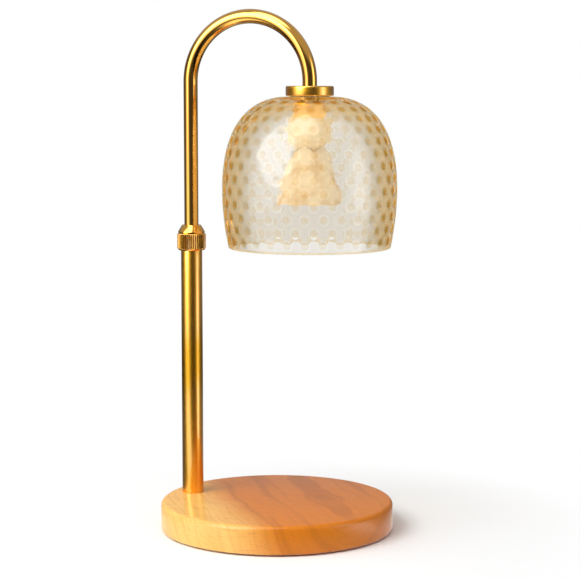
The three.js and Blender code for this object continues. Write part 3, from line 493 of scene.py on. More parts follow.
@dataclass(frozen=True)
class ShadeGlassFinish(Finisher):
    """Champagne glass, tinted through its thickness.

    The steep sides turn amber. The dimples' middles are painted darker amber, most on the steep
    sides, as painted shade, and a white line painted round each dimple is a painted highlight.
    The lip of the rim stays pale.
    """

    name: str = "champagne_glass"
    colour: Colour = (0.875, 0.875, 0.875)
    edge: Colour = (0.95, 0.84, 0.64)
    # colour of the painted shade in the dimples' middles
    bowl: Colour = (0.86, 0.60, 0.14)
    pale_amber: Colour = (0.98, 0.92, 0.78)
    # tint of the veil of painted shade in the dimples' middles
    deep_amber: Colour = (0.86, 0.60, 0.09)
    dimple_attribute: str = "dimple"
    core: Mask = Mask(0.2, 0.42)
    outline: Mask = Mask(0.0, 0.06)
    outline_end: Mask = Mask(0.12, 0.24)
    slope: Mask = Mask(0.2, 0.6)
    rim_level: float = 0.159
    lip_fade: Pair = (0.0006, 0.0018)
    # share of the white line round each dimple, a painted highlight
    outline_white: float = 0.8
    # shares of the painted shade in the dimples' middles, flat and on the steep sides
    bowl_share: float = 0.32
    bowl_share_on_slope: float = 0.7
    slope_pale: float = 0.5
    # share of the clear white veil of that painted highlight
    outline_bare: float = 0.9
    # share of the amber veil of painted shade in the dimples' middles
    core_deep: float = 0.8
    lip_pale: float = 0.7
    shadow: Colour = (0.90, 0.85, 0.74)
    tint: Colour = (0.90, 0.66, 0.16)
    tint_density: float = 60.0
    ior: float = 1.5
    roughness: float = 0.02
    ripple: Grain = Grain(220.0, 2.0)
    ripple_roughness: float = 0.02
    relief: Pair = (0.1, 0.0002)

    def material(self) -> bpy.types.Material:
        """Builds the material. Lamps shine through it, so what is inside stays lit.

        Returns:
            The new material.
        """
        graph = self.graph()
        ripple = self.ripple.on(graph)
        settings = {"attribute_name": self.dimple_attribute}
        depth = graph.node("ShaderNodeAttribute", settings, output="Fac")
        core = self.core.of(depth)
        outline = self.outline.of(depth) * (1.0 - self.outline_end.of(depth))
        fade_start, fade_end = self.lip_fade
        lip = 1.0 - graph.level().clamped(self.rim_level + fade_start, self.rim_level + fade_end)
        facing = graph.node("ShaderNodeLayerWeight", output="Facing")
        slope = self.slope.of(facing) * (1.0 - lip)
        # painted shade: the dimples' middles are darkened to amber, more on the steep sides
        bowl = core * (slope * self.bowl_share_on_slope + self.bowl_share)
        colour = graph.mix(slope, self.colour, self.edge)
        # painted highlight: a white line round each dimple
        colour = graph.mix(outline * self.outline_white, colour, WHITE)
        surface = graph.principled(
            {
                "Base Color": graph.mix(bowl, colour, self.bowl),
                "Roughness": ripple * self.ripple_roughness + self.roughness,
                "IOR": self.ior,
                "Transmission Weight": 1.0,
                "Normal": graph.bump(ripple, *self.relief),
            }
        )
        pale = graph.veil(self.pale_amber)
        veils = (
            (slope * self.slope_pale, pale),
            # painted highlight: clear white veil on each dimple's ring
            (outline * slope * self.outline_bare, graph.veil(WHITE)),
            # painted shade: an amber veil in the dimples' middles on the steep sides
            (core * slope * self.core_deep, graph.veil(self.deep_amber)),
            (lip * self.lip_pale, pale),
            (graph.ray("Is Shadow Ray"), graph.veil(self.shadow)),
        )
        for share, veil in veils:
            surface = graph.mix_shaders(share, surface, veil)
        inputs = {"Color": self.tint, "Density": self.tint_density}
        return graph.finish(surface, graph.node("ShaderNodeVolumeAbsorption", inputs=inputs))


@dataclass(frozen=True)
class PearlFinish(Finisher):
    """Warm pearly glass or enamel, mottled with amber and glowing faintly; on the cup and the neck
    sleeve, which are no lamps, the glow is painted light.
    """

    name: str
    colour: Colour
    amber: Colour
    metal: float
    # glow: painted light where the piece is no lamp, as on the cup and the neck sleeve
    glow: float
    rise: float
    cloud: Grain = Grain(130.0, 4.0)
    mottle: Mask = Mask(0.42, 0.7, 0.6)
    facets_per_metre: float = 420.0
    roughness: float = 0.12
    cloud_roughness: float = 0.2
    coat: float = 0.5
    bump_strength: float = 0.3

    def material(self) -> bpy.types.Material:
        """Builds the material.

        Returns:
            The new material.
        """
        graph = self.graph()
        cloud = self.cloud.on(graph)
        inputs = {"Vector": graph.place(), "Scale": self.facets_per_metre}
        facets = graph.node("ShaderNodeTexVoronoi", inputs=inputs)
        colour = graph.mix(self.mottle.of(cloud), self.colour, self.amber)
        surface = graph.principled(
            {
                "Base Color": colour,
                "Metallic": self.metal,
                "Roughness": cloud * self.cloud_roughness + self.roughness,
                "Coat Weight": self.coat,
                # the glow, painted light on the cup and the neck sleeve
                "Emission Color": colour,
                "Emission Strength": self.glow,
                "Normal": graph.bump(facets, self.bump_strength, self.rise),
            }
        )
        return graph.finish(surface)


class Finish(Enum):
    """A finish for each of the record's material slots, and three for single pieces."""

    lacquered_wood = WoodFinish()
    steel = SteelFinish()
    foot_foam = PlainFinish("foot_foam", (0.045, 0.04, 0.036), 0.8, 2600.0, 0.0002)
    black_rubber = PlainFinish("black_rubber", (0.05, 0.05, 0.05), 0.6, 900.0, 0.00005)
    satin_brass = BrassFinish("satin_brass", (0.94, 0.46, 0.02), (0.86, 0.38, 0.012), 0.28, 0.1)
    polished_brass = BrassFinish(
        "polished_brass", (0.95, 0.45, 0.015), (0.88, 0.38, 0.01), 0.02, 0.04
    )
    # its band over the knurl is painted darker, as painted shade between the ribs
    knurled_brass = BrassFinish(
        "knurled_brass", (0.95, 0.45, 0.015), (0.88, 0.38, 0.01), 0.06, 0.04, (0.1565, 0.1646)
    )
    contact_brass = BrassFinish("contact_brass", (0.76, 0.55, 0.22), (0.6, 0.4, 0.14), 0.3, 0.1)
    nylon = PlainFinish("natural_nylon", (0.8, 0.78, 0.72), 0.45, 500.0, 0.00003)
    silicone = PlainFinish("clear_silicone", (0.72, 0.68, 0.6), 0.5, 400.0, 0.00003)
    white_ceramic = PlainFinish("white_ceramic", (0.86, 0.83, 0.76), 0.4, 700.0, 0.00004)
    shade_glass = ShadeGlassFinish()
    # the cup's glow is painted light
    cup_pearl = PearlFinish(
        "cup_pearl", (0.94, 0.80, 0.54), (0.84, 0.60, 0.28), metal=0.28, glow=0.12, rise=0.0001
    )
    # the sleeve's glow is painted light, standing for the light its brass catches
    neck_gold = PearlFinish(
        "neck_gold", (0.98, 0.66, 0.22), (0.92, 0.48, 0.08), metal=0.6, glow=0.35, rise=0.0001
    )
    bulb_glass = PearlFinish(
        "bulb_pearl", (0.92, 0.79, 0.57), (0.64, 0.37, 0.12), metal=0.3, glow=0.1, rise=0.0005
    )


class Wardrobe:
    """Makes each finish once and hands it out."""

    def __init__(self) -> None:
        """Starts with nothing made."""
        self.made: dict[Finish, bpy.types.Material] = {}

    def dress(self, thing: bpy.types.Object, finish: Finish) -> None:
        """Gives an object one finish all over.

        Args:
            thing: The object.
            finish: The finish that it gets.
        """
        if finish not in self.made:
            self.made[finish] = finish.value.material()
        thing.data.materials.clear()
        thing.data.materials.append(self.made[finish])


# Modelling by operators


def rounded(corners: Sequence[Corner], steps: int = 4) -> list[Vector]:
    """A profile with rounded corners.

    Args:
        corners: Radius, height and rounding of each corner, in millimetres.
        steps: How many straight steps each rounding has.

    Returns:
        The points in the XZ plane, in millimetres.
    """
    points: list[Vector] = []
    spots = [Vector((x, 0.0, z)) for x, z, _ in corners]
    for i, (spot, (_, _, radius)) in enumerate(zip(spots, corners)):
        if radius == 0.0 or i in (0, len(corners) - 1):
            points.append(spot)
            continue
        before = (spots[i - 1] - spot).normalized()
        after = (spots[i + 1] - spot).normalized()
        half = before.angle(after) / 2.0
        back = radius / math.tan(half)
        centre = spot + (before + after).normalized() * (radius / math.sin(half))
        first = spot + before * back - centre
        last = spot + after * back - centre
        for step in range(steps + 1):
            points.append(centre + first.slerp(last, step / steps).normalized() * radius)
    return points


def closed(corners: Sequence[Corner], steps: int = 4) -> list[Vector]:
    """A rounded profile that ends at its first corner, which stays sharp."""
    return rounded([*corners, corners[0]], steps)


def curved(handles: Sequence[Pair], steps: int) -> list[Vector]:
    """A Bezier curve in the XZ plane, by repeated blending of its handles.

    Args:
        handles: Radius and height of each handle, in millimetres.
        steps: How many straight steps the curve has.

    Returns:
        The points from the first handle to the last.
    """
    curve = []
    for i in range(steps + 1):
        points = [Vector((x, 0.0, z)) for x, z in handles]
        while len(points) > 1:
            points = [a.lerp(b, i / steps) for a, b in zip(points, points[1:])]
        curve.append(points[0])
    return curve


class Workbench:
    """Models pieces in edit mode, as by hand."""

    merge_distance = 0.002 * MM
    sliver = 0.0005 * MM

    @staticmethod
    def clear() -> None:
        """Leaves edit mode with nothing selected."""
        if bpy.context.mode != "OBJECT":
            bpy.ops.object.mode_set(mode="OBJECT")
        bpy.ops.object.select_all(action="DESELECT")

    def take(self, *things: bpy.types.Object) -> None:
        """Selects some objects, and nothing else.

        Args:
            things: The objects, of which the first becomes the active one.
        """
        self.clear()
        for thing in things:
            thing.select_set(True)
        bpy.context.view_layer.objects.active = things[0]

    def draw_profile(self, points: Sequence[Vector]) -> bpy.types.Object:
        """Draws an open line through the points and stays in edit mode.

        Args:
            points: The points in metres.

        Returns:
            The object that is being edited.
        """
        self.clear()
        bpy.ops.mesh.primitive_plane_add(size=MM, location=points[0])
        bpy.ops.object.transform_apply(location=True)
        bpy.ops.object.mode_set(mode="EDIT")
        bpy.ops.mesh.select_all(action="SELECT")
        bpy.ops.mesh.merge(type="CENTER")
        for here, there in zip(points, points[1:]):
            bpy.ops.mesh.extrude_region_move(TRANSFORM_OT_translate={"value": there - here})
        bpy.ops.mesh.select_all(action="SELECT")
        return bpy.context.object

    def turn(
        self, name: str, points: Sequence[Vector], seat: Pair, steps: int = 128
    ) -> bpy.types.Object:
        """Turns a profile once round an upright axis.

        Args:
            name: The piece's name.
            points: The profile as radius and height over the seat, in millimetres.
            seat: Where the axis stands along X, and the height of the profile's zero.
            steps: How many steps the turn has.

        Returns:
            The piece, in object mode.
        """
        axis_x, foot = seat
        shift = Vector((axis_x, 0.0, foot))
        piece = self.draw_profile([(point + shift) * MM for point in points])
        centre = (axis_x * MM, 0.0, 0.0)
        bpy.ops.mesh.spin(steps=steps, angle=2.0 * math.pi, center=centre, axis=tuple(UP))
        self.close_up()
        return self.settle(piece, name)

    def close_up(self) -> None:
        """Merges doubled points and turns every face outwards."""
        bpy.ops.mesh.select_all(action="SELECT")
        bpy.ops.mesh.remove_doubles(threshold=self.merge_distance)
        bpy.ops.mesh.dissolve_degenerate(threshold=self.sliver)
        bpy.ops.mesh.normals_make_consistent(inside=False)

    def settle(self, piece: bpy.types.Object, name: str, sharp: float = 40.0) -> bpy.types.Object:
        """Leaves edit mode, names the piece and smooths its rounded faces.

        Args:
            piece: The object that was edited.
            name: Its name.
            sharp: Edges over this angle in degrees stay sharp.

        Returns:
            The same object.
        """
        self.take(piece)
        bpy.ops.object.shade_smooth_by_angle(angle=math.radians(sharp))
        piece.name = name
        piece.data.name = name
        piece.select_set(False)
        return piece

    @staticmethod
    def pick(test: Callable[[Vector], bool]) -> None:
        """Selects the points of the edited mesh that pass a test, and nothing else.

        Args:
            test: Says of a point's place whether it is selected.
        """
        bpy.ops.mesh.select_mode(type="VERT")
        bpy.ops.mesh.select_all(action="DESELECT")
        mesh = bmesh.from_edit_mesh(bpy.context.object.data)
        for vertex in mesh.verts:
            vertex.select_set(test(vertex.co))
        mesh.select_flush(True)
        bmesh.update_edit_mesh(bpy.context.object.data)

    def carve(self, piece: bpy.types.Object, tool: bpy.types.Object) -> None:
        """Cuts a tool out of a piece and deletes the tool.

        Args:
            piece: The piece that is cut.
            tool: The closed shape that is taken away.
        """
        self.take(piece)
        bpy.ops.object.modifier_add(type="BOOLEAN")
        modifier = piece.modifiers[-1]
        modifier.operation = "DIFFERENCE"
        modifier.solver = "EXACT"
        modifier.object = tool
        bpy.ops.object.modifier_apply(modifier=modifier.name)
        self.take(tool)
        bpy.ops.object.delete()

    def bore(
        self, piece: bpy.types.Object, radius: float, start: Triple, depth: float, sides: int = 64
    ) -> None:
        """Bores an upright hole.

        Args:
            piece: The piece that is bored.
            radius: The hole's radius in millimetres.
            start: The middle of the hole's lower end, in millimetres.
            depth: How far the hole reaches up, in millimetres.
            sides: How many sides the hole has.
        """
        self.clear()
        middle = (Vector(start) + UP * depth / 2.0) * MM
        bpy.ops.mesh.primitive_cylinder_add(
            vertices=sides, radius=radius * MM, depth=depth * MM, location=middle
        )
        self.carve(piece, bpy.context.object)


BENCH = Workbench()
WARDROBE = Wardrobe()


def adopt(
    piece: bpy.types.Object, body: str, finish: Finish, node: str
) -> None:
    """Dresses a piece, lets it ride on its body and stand for its CAD node.

    Args:
        piece: The finished piece.
        body: The CAD body that carries it.
        finish: Its finish.
        node: The CAD node that it replaces.
    """
    WARDROBE.dress(piece, finish)
    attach(piece, body)
    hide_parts(node)
    LOG.info("%s: %d faces, rides on %s", piece.name, len(piece.data.polygons), body)


@dataclass(frozen=True)
class Extent:
    """Where an upright CAD node lies, in millimetres."""

    axis_x: float
    radius: float
    bottom: float
    top: float

    @classmethod
    def of(cls, node: str) -> "Extent":
        """Measures a node.

        Args:
            node: The CAD node's name.

        Returns:
            Its axis, radius and two levels.
        """
        low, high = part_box(node)
        return cls(
            axis_x=(low[0] + high[0]) / 2.0 / MM,
            radius=(high[1] - low[1]) / 2.0 / MM,
            bottom=low[2] / MM,
            top=high[2] / MM,
        )

    @property
    def height(self) -> float:
        """From the bottom to the top."""
        return self.top - self.bottom

    @property
    def seat(self) -> Pair:
        """Its axis along X and its bottom, where its profile is turned."""
        return self.axis_x, self.bottom


def measured(node: str) -> Extent:
    """A dataclass field that is measured on a CAD node."""
    return field(default_factory=lambda: Extent.of(node))


# The lamp


@dataclass
class WoodenBase:
    """The turned wooden disc, its pad and its cord inlet."""

    disc: Extent = measured("base_disc")
    pad: Extent = measured("foot_pad")
    post: Extent = measured("lower_post")
    weight: Extent = measured("base_weight")
    top_round: float = 2.4
    foot_round: float = 1.0
    recess_round: float = 0.2
    round_steps: int = 6
    pad_foot_round: float = 0.6
    pad_top_round: float = 0.1
    clearance: float = 0.3
    post_hole_radius: float = 5.2
    pocket_radius: float = 9.6
    pocket_roof: float = 9.5
    screw_radius: float = 2.0
    screw_sides: int = 32
    screw_names: tuple[str, ...] = ("weight_screw_1", "weight_screw_2", "weight_screw_3")
    inlet_radius: float = 3.5
    inlet_height: float = 6.2
    inlet_sides: int = 48
    grommet_bore: float = 2.2
    grommet_body: float = 3.2
    grommet_reach: float = 3.4
    flange_radius: float = 4.4
    flange_thickness: float = 1.2
    flange_rounds: Pair = (0.5, 0.2)
    grommet_end_rounds: Pair = (0.2, 0.3)
    grommet_steps: int = 64
    steps: int = 192

    def build_disc(self) -> None:
        """Turns the disc, then bores the post's hole, its pocket, the pilots and the inlet."""
        recess = self.pad.radius + self.clearance
        well = self.weight.radius + self.clearance
        roof = self.weight.top + self.clearance
        profile = rounded(
            [
                (0.0, roof, 0.0),
                (well, roof, 0.0),
                (well, self.pad.top, 0.0),
                (recess, self.pad.top, 0.0),
                (recess, self.disc.bottom, self.recess_round),
                (self.disc.radius, self.disc.bottom, self.foot_round),
                (self.disc.radius, self.disc.top, self.top_round),
                (0.0, self.disc.top, 0.0),
            ],
            self.round_steps,
        )
        disc = BENCH.turn("wooden_base", profile, ORIGIN, self.steps)
        foot = (self.post.axis_x, 0.0, 0.0)
        BENCH.bore(disc, self.post_hole_radius, foot, 2.0 * self.disc.top)
        BENCH.bore(disc, self.pocket_radius, foot, self.pocket_roof)
        for name in self.screw_names:
            low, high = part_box(name)
            middle = (low + high) / 2.0 / MM
            depth = high.z / MM + self.clearance
            reach = self.screw_radius + self.clearance
            BENCH.bore(disc, reach, (middle.x, middle.y, 0.0), depth, self.screw_sides)
        BENCH.clear()
        bpy.ops.mesh.primitive_cylinder_add(
            vertices=self.inlet_sides,
            radius=self.inlet_radius * MM,
            depth=2.0 * (self.disc.radius + self.post.axis_x) * MM,
            location=(-self.disc.radius * MM, 0.0, self.inlet_height * MM),
            rotation=(0.0, math.pi / 2.0, 0.0),
        )
        BENCH.carve(disc, bpy.context.object)
        disc = BENCH.settle(disc, "wooden_base")
        adopt(disc, "stand", Finish.lacquered_wood, "base_disc")

    def build_pad(self) -> None:
        """Turns the soft pad with its softened edge."""
        profile = rounded(
            [
                (0.0, 0.0, 0.0),
                (self.pad.radius, 0.0, self.pad_foot_round),
                (self.pad.radius, self.pad.top, self.pad_top_round),
                (0.0, self.pad.top, 0.0),
            ]
        )
        pad = BENCH.turn("foot_pad_foam", profile, ORIGIN, self.steps)
        adopt(pad, "stand", Finish.foot_foam, "foot_pad")

    def build_grommet(self) -> None:
        """Turns the flanged bush of the cord inlet and lays it along X."""
        outer_round, inner_round = self.flange_rounds
        body_round, bore_round = self.grommet_end_rounds
        profile = closed(
            [
                (self.grommet_bore, -self.flange_thickness, 0.0),
                (self.flange_radius, -self.flange_thickness, outer_round),
                (self.flange_radius, 0.0, inner_round),
                (self.grommet_body, 0.0, 0.0),
                (self.grommet_body, self.grommet_reach, body_round),
                (self.grommet_bore, self.grommet_reach, bore_round),
            ]
        )
        grommet = BENCH.turn("inlet_grommet", profile, ORIGIN, self.grommet_steps)
        BENCH.take(grommet)
        inlet_x = -self.disc.radius - self.clearance
        grommet.rotation_euler = (0.0, math.pi / 2.0, 0.0)
        grommet.location = (inlet_x * MM, 0.0, self.inlet_height * MM)
        bpy.ops.object.transform_apply(location=True, rotation=True)
        adopt(grommet, "stand", Finish.black_rubber, "cord_grommet")

    def build(self) -> None:
        """Builds all of the base."""
        self.build_disc()
        self.build_pad()
        self.build_grommet()


@dataclass
class Post:
    """The lower tube and its knurled lock collar."""

    tube: Extent = measured("lower_post")
    collar: Extent = measured("lock_collar")
    bore_radius: float = 5.2
    end_round: float = 0.25
    bore_round: float = 0.15
    tube_steps: int = 96
    knurl_height: float = 10.3
    knurl_depth: float = 0.5
    knurl_count: int = 42
    rib_lift: tuple[float, ...] = (1.0, 0.5, 0.0, 0.5)
    rib_sharp: float = 20.0
    knurl_margins: Pair = (1.0, 1.2)
    knurl_slack: float = 0.1
    foot_chamfer: float = 0.4
    foot_round: float = 0.2
    foot_rings: Pair = (0.7, 1.1)
    head_rings: Pair = (1.3, 0.9)
    groove_depth: float = 0.35
    groove_drop: float = 0.55
    lip_drop: float = 0.2
    lip_round: float = 0.15
    shoulder_rise: float = 0.1
    shoulder_round: float = 0.3
    cone_top_radius: float = 5.3
    cone_top_round: float = 0.4
    mouth_radius: float = 4.5
    mouth_round: float = 0.15
    mouth_depth: float = 0.8
    collar_bore_radius: float = 6.3
    collar_bore_top: float = 8.2
    profile_steps: int = 3

    def build_tube(self) -> None:
        """Turns the lower tube with eased ends."""
        profile = closed(
            [
                (self.bore_radius, self.tube.height / 2.0, 0.0),
                (self.bore_radius, 0.0, self.bore_round),
                (self.tube.radius, 0.0, self.end_round),
                (self.tube.radius, self.tube.height, self.end_round),
                (self.bore_radius, self.tube.height, self.bore_round),
            ]
        )
        tube = BENCH.turn("post_tube", profile, self.tube.seat, self.tube_steps)
        adopt(tube, "stand", Finish.satin_brass, "lower_post")

    def _collar_profile(self, root: float) -> list[Vector]:
        """The collar's closed profile.

        Args:
            root: The radius of its band, at the bottom of the ribs.

        Returns:
            The points as radius and height over the collar's foot.
        """
        head = self.knurl_height
        height = self.collar.height
        return closed(
            [
                (self.collar_bore_radius, 0.0, 0.0),
                (root - self.foot_chamfer, 0.0, self.foot_round),
                *((root, rise, 0.0) for rise in self.foot_rings),
                *((root, head - drop, 0.0) for drop in self.head_rings),
                (root - self.groove_depth, head - self.groove_drop, 0.0),
                (root, head - self.lip_drop, self.lip_round),
                (root, head + self.shoulder_rise, self.shoulder_round),
                (self.cone_top_radius, height, self.cone_top_round),
                (self.mouth_radius, height, self.mouth_round),
                (self.mouth_radius, height - self.mouth_depth, 0.0),
                (self.collar_bore_radius, self.collar_bore_top, 0.0),
            ],
            self.profile_steps,
        )

    def build_collar(self) -> None:
        """Turns the collar, then draws the knurl's ribs out of its band."""
        root = self.collar.radius - self.knurl_depth
        steps = len(self.rib_lift) * self.knurl_count
        axis_x, bottom = self.collar.seat
        profile = self._collar_profile(root)
        collar = BENCH.turn("knurled_collar", profile, self.collar.seat, steps)
        low = (bottom + self.knurl_margins[0]) * MM
        high = (bottom + self.knurl_height - self.knurl_margins[1]) * MM

        def column_of(spot: Vector) -> int:
            """Finds the column of its rib that a point of the band is in.

            Args:
                spot: The point's place.

            Returns:
                The column's number within its rib, or -1 off the band.
            """
            across = spot.x - axis_x * MM
            outside = math.hypot(across, spot.y) > (root - self.knurl_slack) * MM
            column = round(math.atan2(spot.y, across) / (2.0 * math.pi) * steps)
            return column % len(self.rib_lift) if outside and low < spot.z < high else -1

        BENCH.take(collar)
        bpy.ops.object.mode_set(mode="EDIT")
        for number, lift in enumerate(self.rib_lift):
            BENCH.pick(lambda spot: column_of(spot) == number)
            swell = 1.0 + (self.collar.radius / root - 1.0) * lift
            bpy.ops.transform.resize(
                value=(swell, swell, 1.0), center_override=(axis_x * MM, 0.0, 0.0)
            )
        BENCH.settle(collar, "knurled_collar", self.rib_sharp)
        adopt(collar, "collar", Finish.knurled_brass, "lock_collar")

    def build(self) -> None:
        """Builds the tube and the collar."""
        self.build_tube()
        self.build_collar()


@dataclass
class Arm:
    """The bent tube, with the grooves of its two clips."""

    leg: Extent = measured("lower_post")
    tube: Extent = measured("arm_tube")
    cap: Extent = measured("shade_cap")
    radius: float = 4.0
    bore_radius: float = 3.0
    groove_radius: float = 3.4
    groove_height: float = 1.4
    groove_starts: Pair = (1.0, 14.4)
    end_slack: float = 0.01
    sides: int = 64
    arch_steps: int = 96

    @property
    def arch_axis(self) -> float:
        """Where the middle of the arch lies along X."""
        return (self.leg.axis_x + self.cap.axis_x) / 2.0

    @property
    def springing(self) -> float:
        """The level at which the arch begins."""
        return self.tube.top - self.radius - (self.cap.axis_x - self.leg.axis_x) / 2.0

    def _skin(self, radius: float, groove_starts: Sequence[float]) -> bpy.types.Object:
        """Draws one wall of the tube: up the leg, over the arch and down.

        Args:
            radius: The wall's radius.
            groove_starts: How far over the tube's end each clip groove starts.

        Returns:
            The wall as an open tube.
        """
        BENCH.clear()
        start = Vector((self.leg.axis_x, 0.0, self.tube.bottom)) * MM
        bpy.ops.mesh.primitive_circle_add(vertices=self.sides, radius=radius * MM, location=start)
        bpy.ops.object.transform_apply(location=True)
        skin = bpy.context.object
        bpy.ops.object.mode_set(mode="EDIT")
        bpy.ops.mesh.select_all(action="SELECT")
        level = 0.0
        for groove in groove_starts:
            self._rise(groove - level)
            self._squeeze(self.groove_radius / self.radius)
            self._rise(self.groove_height)
            self._squeeze(self.radius / self.groove_radius)
            level = groove + self.groove_height
        self._rise(self.springing - self.tube.bottom - level)
        centre = (self.arch_axis * MM, 0.0, self.springing * MM)
        bpy.ops.mesh.spin(
            steps=self.arch_steps, angle=-math.pi, center=centre, axis=(0.0, 1.0, 0.0)
        )
        self._rise(self.cap.top - self.springing)
        return skin

    @staticmethod
    def _rise(distance: float) -> None:
        """Draws the selected end of the tube straight up or down."""
        shift = {"value": (0.0, 0.0, distance * MM)}
        bpy.ops.mesh.extrude_region_move(TRANSFORM_OT_translate=shift)

    def _squeeze(self, share: float) -> None:
        """Steps the selected end of the leg in or out.

        Args:
            share: The new radius as a share of the old one.
        """
        self._rise(0.0)
        middle = (self.leg.axis_x * MM, 0.0, 0.0)
        bpy.ops.transform.resize(value=(share, share, 1.0), center_override=middle)

    def build(self) -> None:
        """Draws both walls, joins them and bridges the two ends."""
        inner = self._skin(self.bore_radius, ())
        outer = self._skin(self.radius, self.groove_starts)
        BENCH.take(outer, inner)
        bpy.ops.object.join()
        bpy.ops.object.mode_set(mode="EDIT")
        middle = self.arch_axis * MM
        ends = (
            lambda spot: spot.x < middle and spot.z < (self.tube.bottom + self.end_slack) * MM,
            lambda spot: spot.x > middle and spot.z < (self.cap.top + self.end_slack) * MM,
        )
        for at_end in ends:
            BENCH.pick(at_end)
            bpy.ops.mesh.bridge_edge_loops()
        BENCH.close_up()
        tube = BENCH.settle(outer, "arched_arm")
        adopt(tube, "arm", Finish.polished_brass, "arm_tube")


@dataclass
class Shade:
    """The dimpled glass shade and the brass cap over it."""

    glass: Extent = measured("glass_shade")
    cap: Extent = measured("shade_cap")
    mouth_radius: float = 44.5
    widest: float = 32.0
    flat_radius: float = 12.0
    hole_radius: float = 5.5
    wall: float = 2.2
    shoulder_share: float = 0.6
    side_share: float = 0.686
    skirt_share: float = 0.53
    outline_steps: tuple[int, int] = (200, 400)
    first_row: float = 4.8
    row_pitch: float = 6.9
    row_count: int = 14
    ring_count: int = 30
    count_step: int = 6
    least_pitch: float = 7.0
    dimple_depth: float = 0.16
    dimple_reach: float = 3.0
    rings_per_row: int = 10
    columns: int = 480
    lining_steps: int = 30
    rim_round: float = 1.0
    lip_steps: int = 4
    rim_stops: tuple[float, ...] = (1.8, 2.7, 3.5)
    glass_sharp: float = 60.0
    cap_recess_radius: float = 11.5
    cap_recess_roof: float = 0.8
    cap_rounds: Pair = (0.7, 0.9)
    cap_round_steps: int = 5
    cap_hole_radius: float = 3.0
    cap_hole_round: float = 0.2
    cap_plate: float = 2.2
    nipple_hole_radius: float = 5.0

    def _outline(self, inset: float) -> list[Vector]:
        """The wall's outline, finely stepped.

        Args:
            inset: How far inside the outer face it lies.

        Returns:
            The points, from the rim up to the edge of the flat top.
        """
        side = self.glass.radius - inset
        top = self.glass.height - inset
        low = [
            (self.mouth_radius - inset, 0.0),
            (side, self.skirt_share * self.widest),
            (side, self.widest),
        ]
        high = [
            (side, self.widest),
            (side, self.widest + self.side_share * (top - self.widest)),
            (self.flat_radius + self.shoulder_share * (side - self.flat_radius), top),
            (self.flat_radius, top),
        ]
        low_steps, high_steps = self.outline_steps
        return curved(low, low_steps)[:-1] + curved(high, high_steps)

    @staticmethod
    def _length(line: Sequence[Vector]) -> float:
        """How long a line is."""
        return sum((there - here).length for here, there in zip(line, line[1:]))

    @staticmethod
    def _walk(line: Sequence[Vector], stops: Iterable[float]) -> list[Vector]:
        """Finds the points at given distances along a line.

        Args:
            line: The line's points.
            stops: The distances from its start, in rising order.

        Returns:
            A point for each distance.
        """
        found: list[Vector] = []
        gone = 0.0
        i = 0
        for stop in stops:
            while i < len(line) - 2 and gone + (line[i + 1] - line[i]).length < stop:
                gone += (line[i + 1] - line[i]).length
                i += 1
            step = (line[i + 1] - line[i]).length
            found.append(line[i].lerp(line[i + 1], min(1.0, (stop - gone) / step)))
        return found

    def _dimple_places(self, line: Sequence[Vector]) -> list[Vector]:
        """Works out where the dimples' middles lie.

        Args:
            line: The outer outline.

        Returns:
            Their places from the foot of the shade's axis, in millimetres.
        """
        places: list[Vector] = []
        stops = [self.first_row + row * self.row_pitch for row in range(self.row_count)]
        for row, spot in enumerate(self._walk(line, stops)):
            count = self.ring_count
            while 2.0 * math.pi * spot.x < count * self.least_pitch:
                count -= self.count_step
            for i in range(count):
                angle = 2.0 * math.pi * (i + (row % 2) / 2.0) / count
                places.append(Vector((spot.x * math.cos(angle), spot.x * math.sin(angle), spot.z)))
        return places

    def _skin(self, outer: Sequence[Vector]) -> bpy.types.Object:
        """Turns the outer face and presses the dimples into it.

        Args:
            outer: The outer outline.

        Returns:
            The open outer face.
        """
        length = self._length(outer)
        step = self.row_pitch / self.rings_per_row
        count = int((length - self.first_row) / step)
        stops = [self.rim_round, *self.rim_stops]
        stops += [self.first_row + i * step for i in range(-1, count)] + [length]
        points = self._walk(outer, stops)
        points.append(Vector((self.hole_radius, 0.0, self.glass.height)))
        skin = BENCH.turn("outer_face", points, self.glass.seat, self.columns)
        self._press(skin, self._dimple_places(outer))
        return skin

    def _press(self, skin: bpy.types.Object, places: Sequence[Vector]) -> None:
        """Presses a dimple into the face at every place.

        Args:
            skin: The turned outer face.
            places: The dimples' middles.
        """
        foot = Vector((self.glass.axis_x, 0.0, self.glass.bottom))
        middles = [(place + foot) * MM for place in places]
        self._mark(skin, middles)
        tree = self._tree([vertex.co for vertex in skin.data.vertices])
        BENCH.take(skin)
        bpy.ops.object.mode_set(mode="EDIT")
        bpy.ops.mesh.select_mode(type="VERT")
        bpy.ops.mesh.select_all(action="DESELECT")
        mesh = bmesh.from_edit_mesh(skin.data)
        mesh.verts.ensure_lookup_table()
        for middle in middles:
            mesh.verts[tree.find(middle)[1]].select_set(True)
        bmesh.update_edit_mesh(skin.data)
        bpy.ops.transform.shrink_fatten(
            value=-self.dimple_depth * MM,
            use_proportional_edit=True,
            proportional_edit_falloff="INVERSE_SQUARE",
            proportional_size=self.dimple_reach * MM,
        )
        BENCH.clear()
        LOG.info("pressed %d dimples", len(places))

    @staticmethod
    def _tree(spots: Sequence[Vector]) -> KDTree:
        """Makes a search tree of places.

        Args:
            spots: The places.

        Returns:
            The tree, in which each place goes by its number in the sequence.
        """
        tree = KDTree(len(spots))
        for i, spot in enumerate(spots):
            tree.insert(spot, i)
        tree.balance()
        return tree

    def _mark(self, skin: bpy.types.Object, middles: Sequence[Vector]) -> None:
        """Writes how far inside a dimple each point lies, for the finish.

        Args:
            skin: The turned outer face.
            middles: The dimples' middles in metres.
        """
        tree = self._tree(middles)
        reach = self.dimple_reach * MM
        name = ShadeGlassFinish.dimple_attribute
        mark = skin.data.attributes.new(name, "FLOAT", "POINT")
        for vertex, entry in zip(skin.data.vertices, mark.data):
            entry.value = max(0.0, 1.0 - tree.find(vertex.co)[2] / reach)

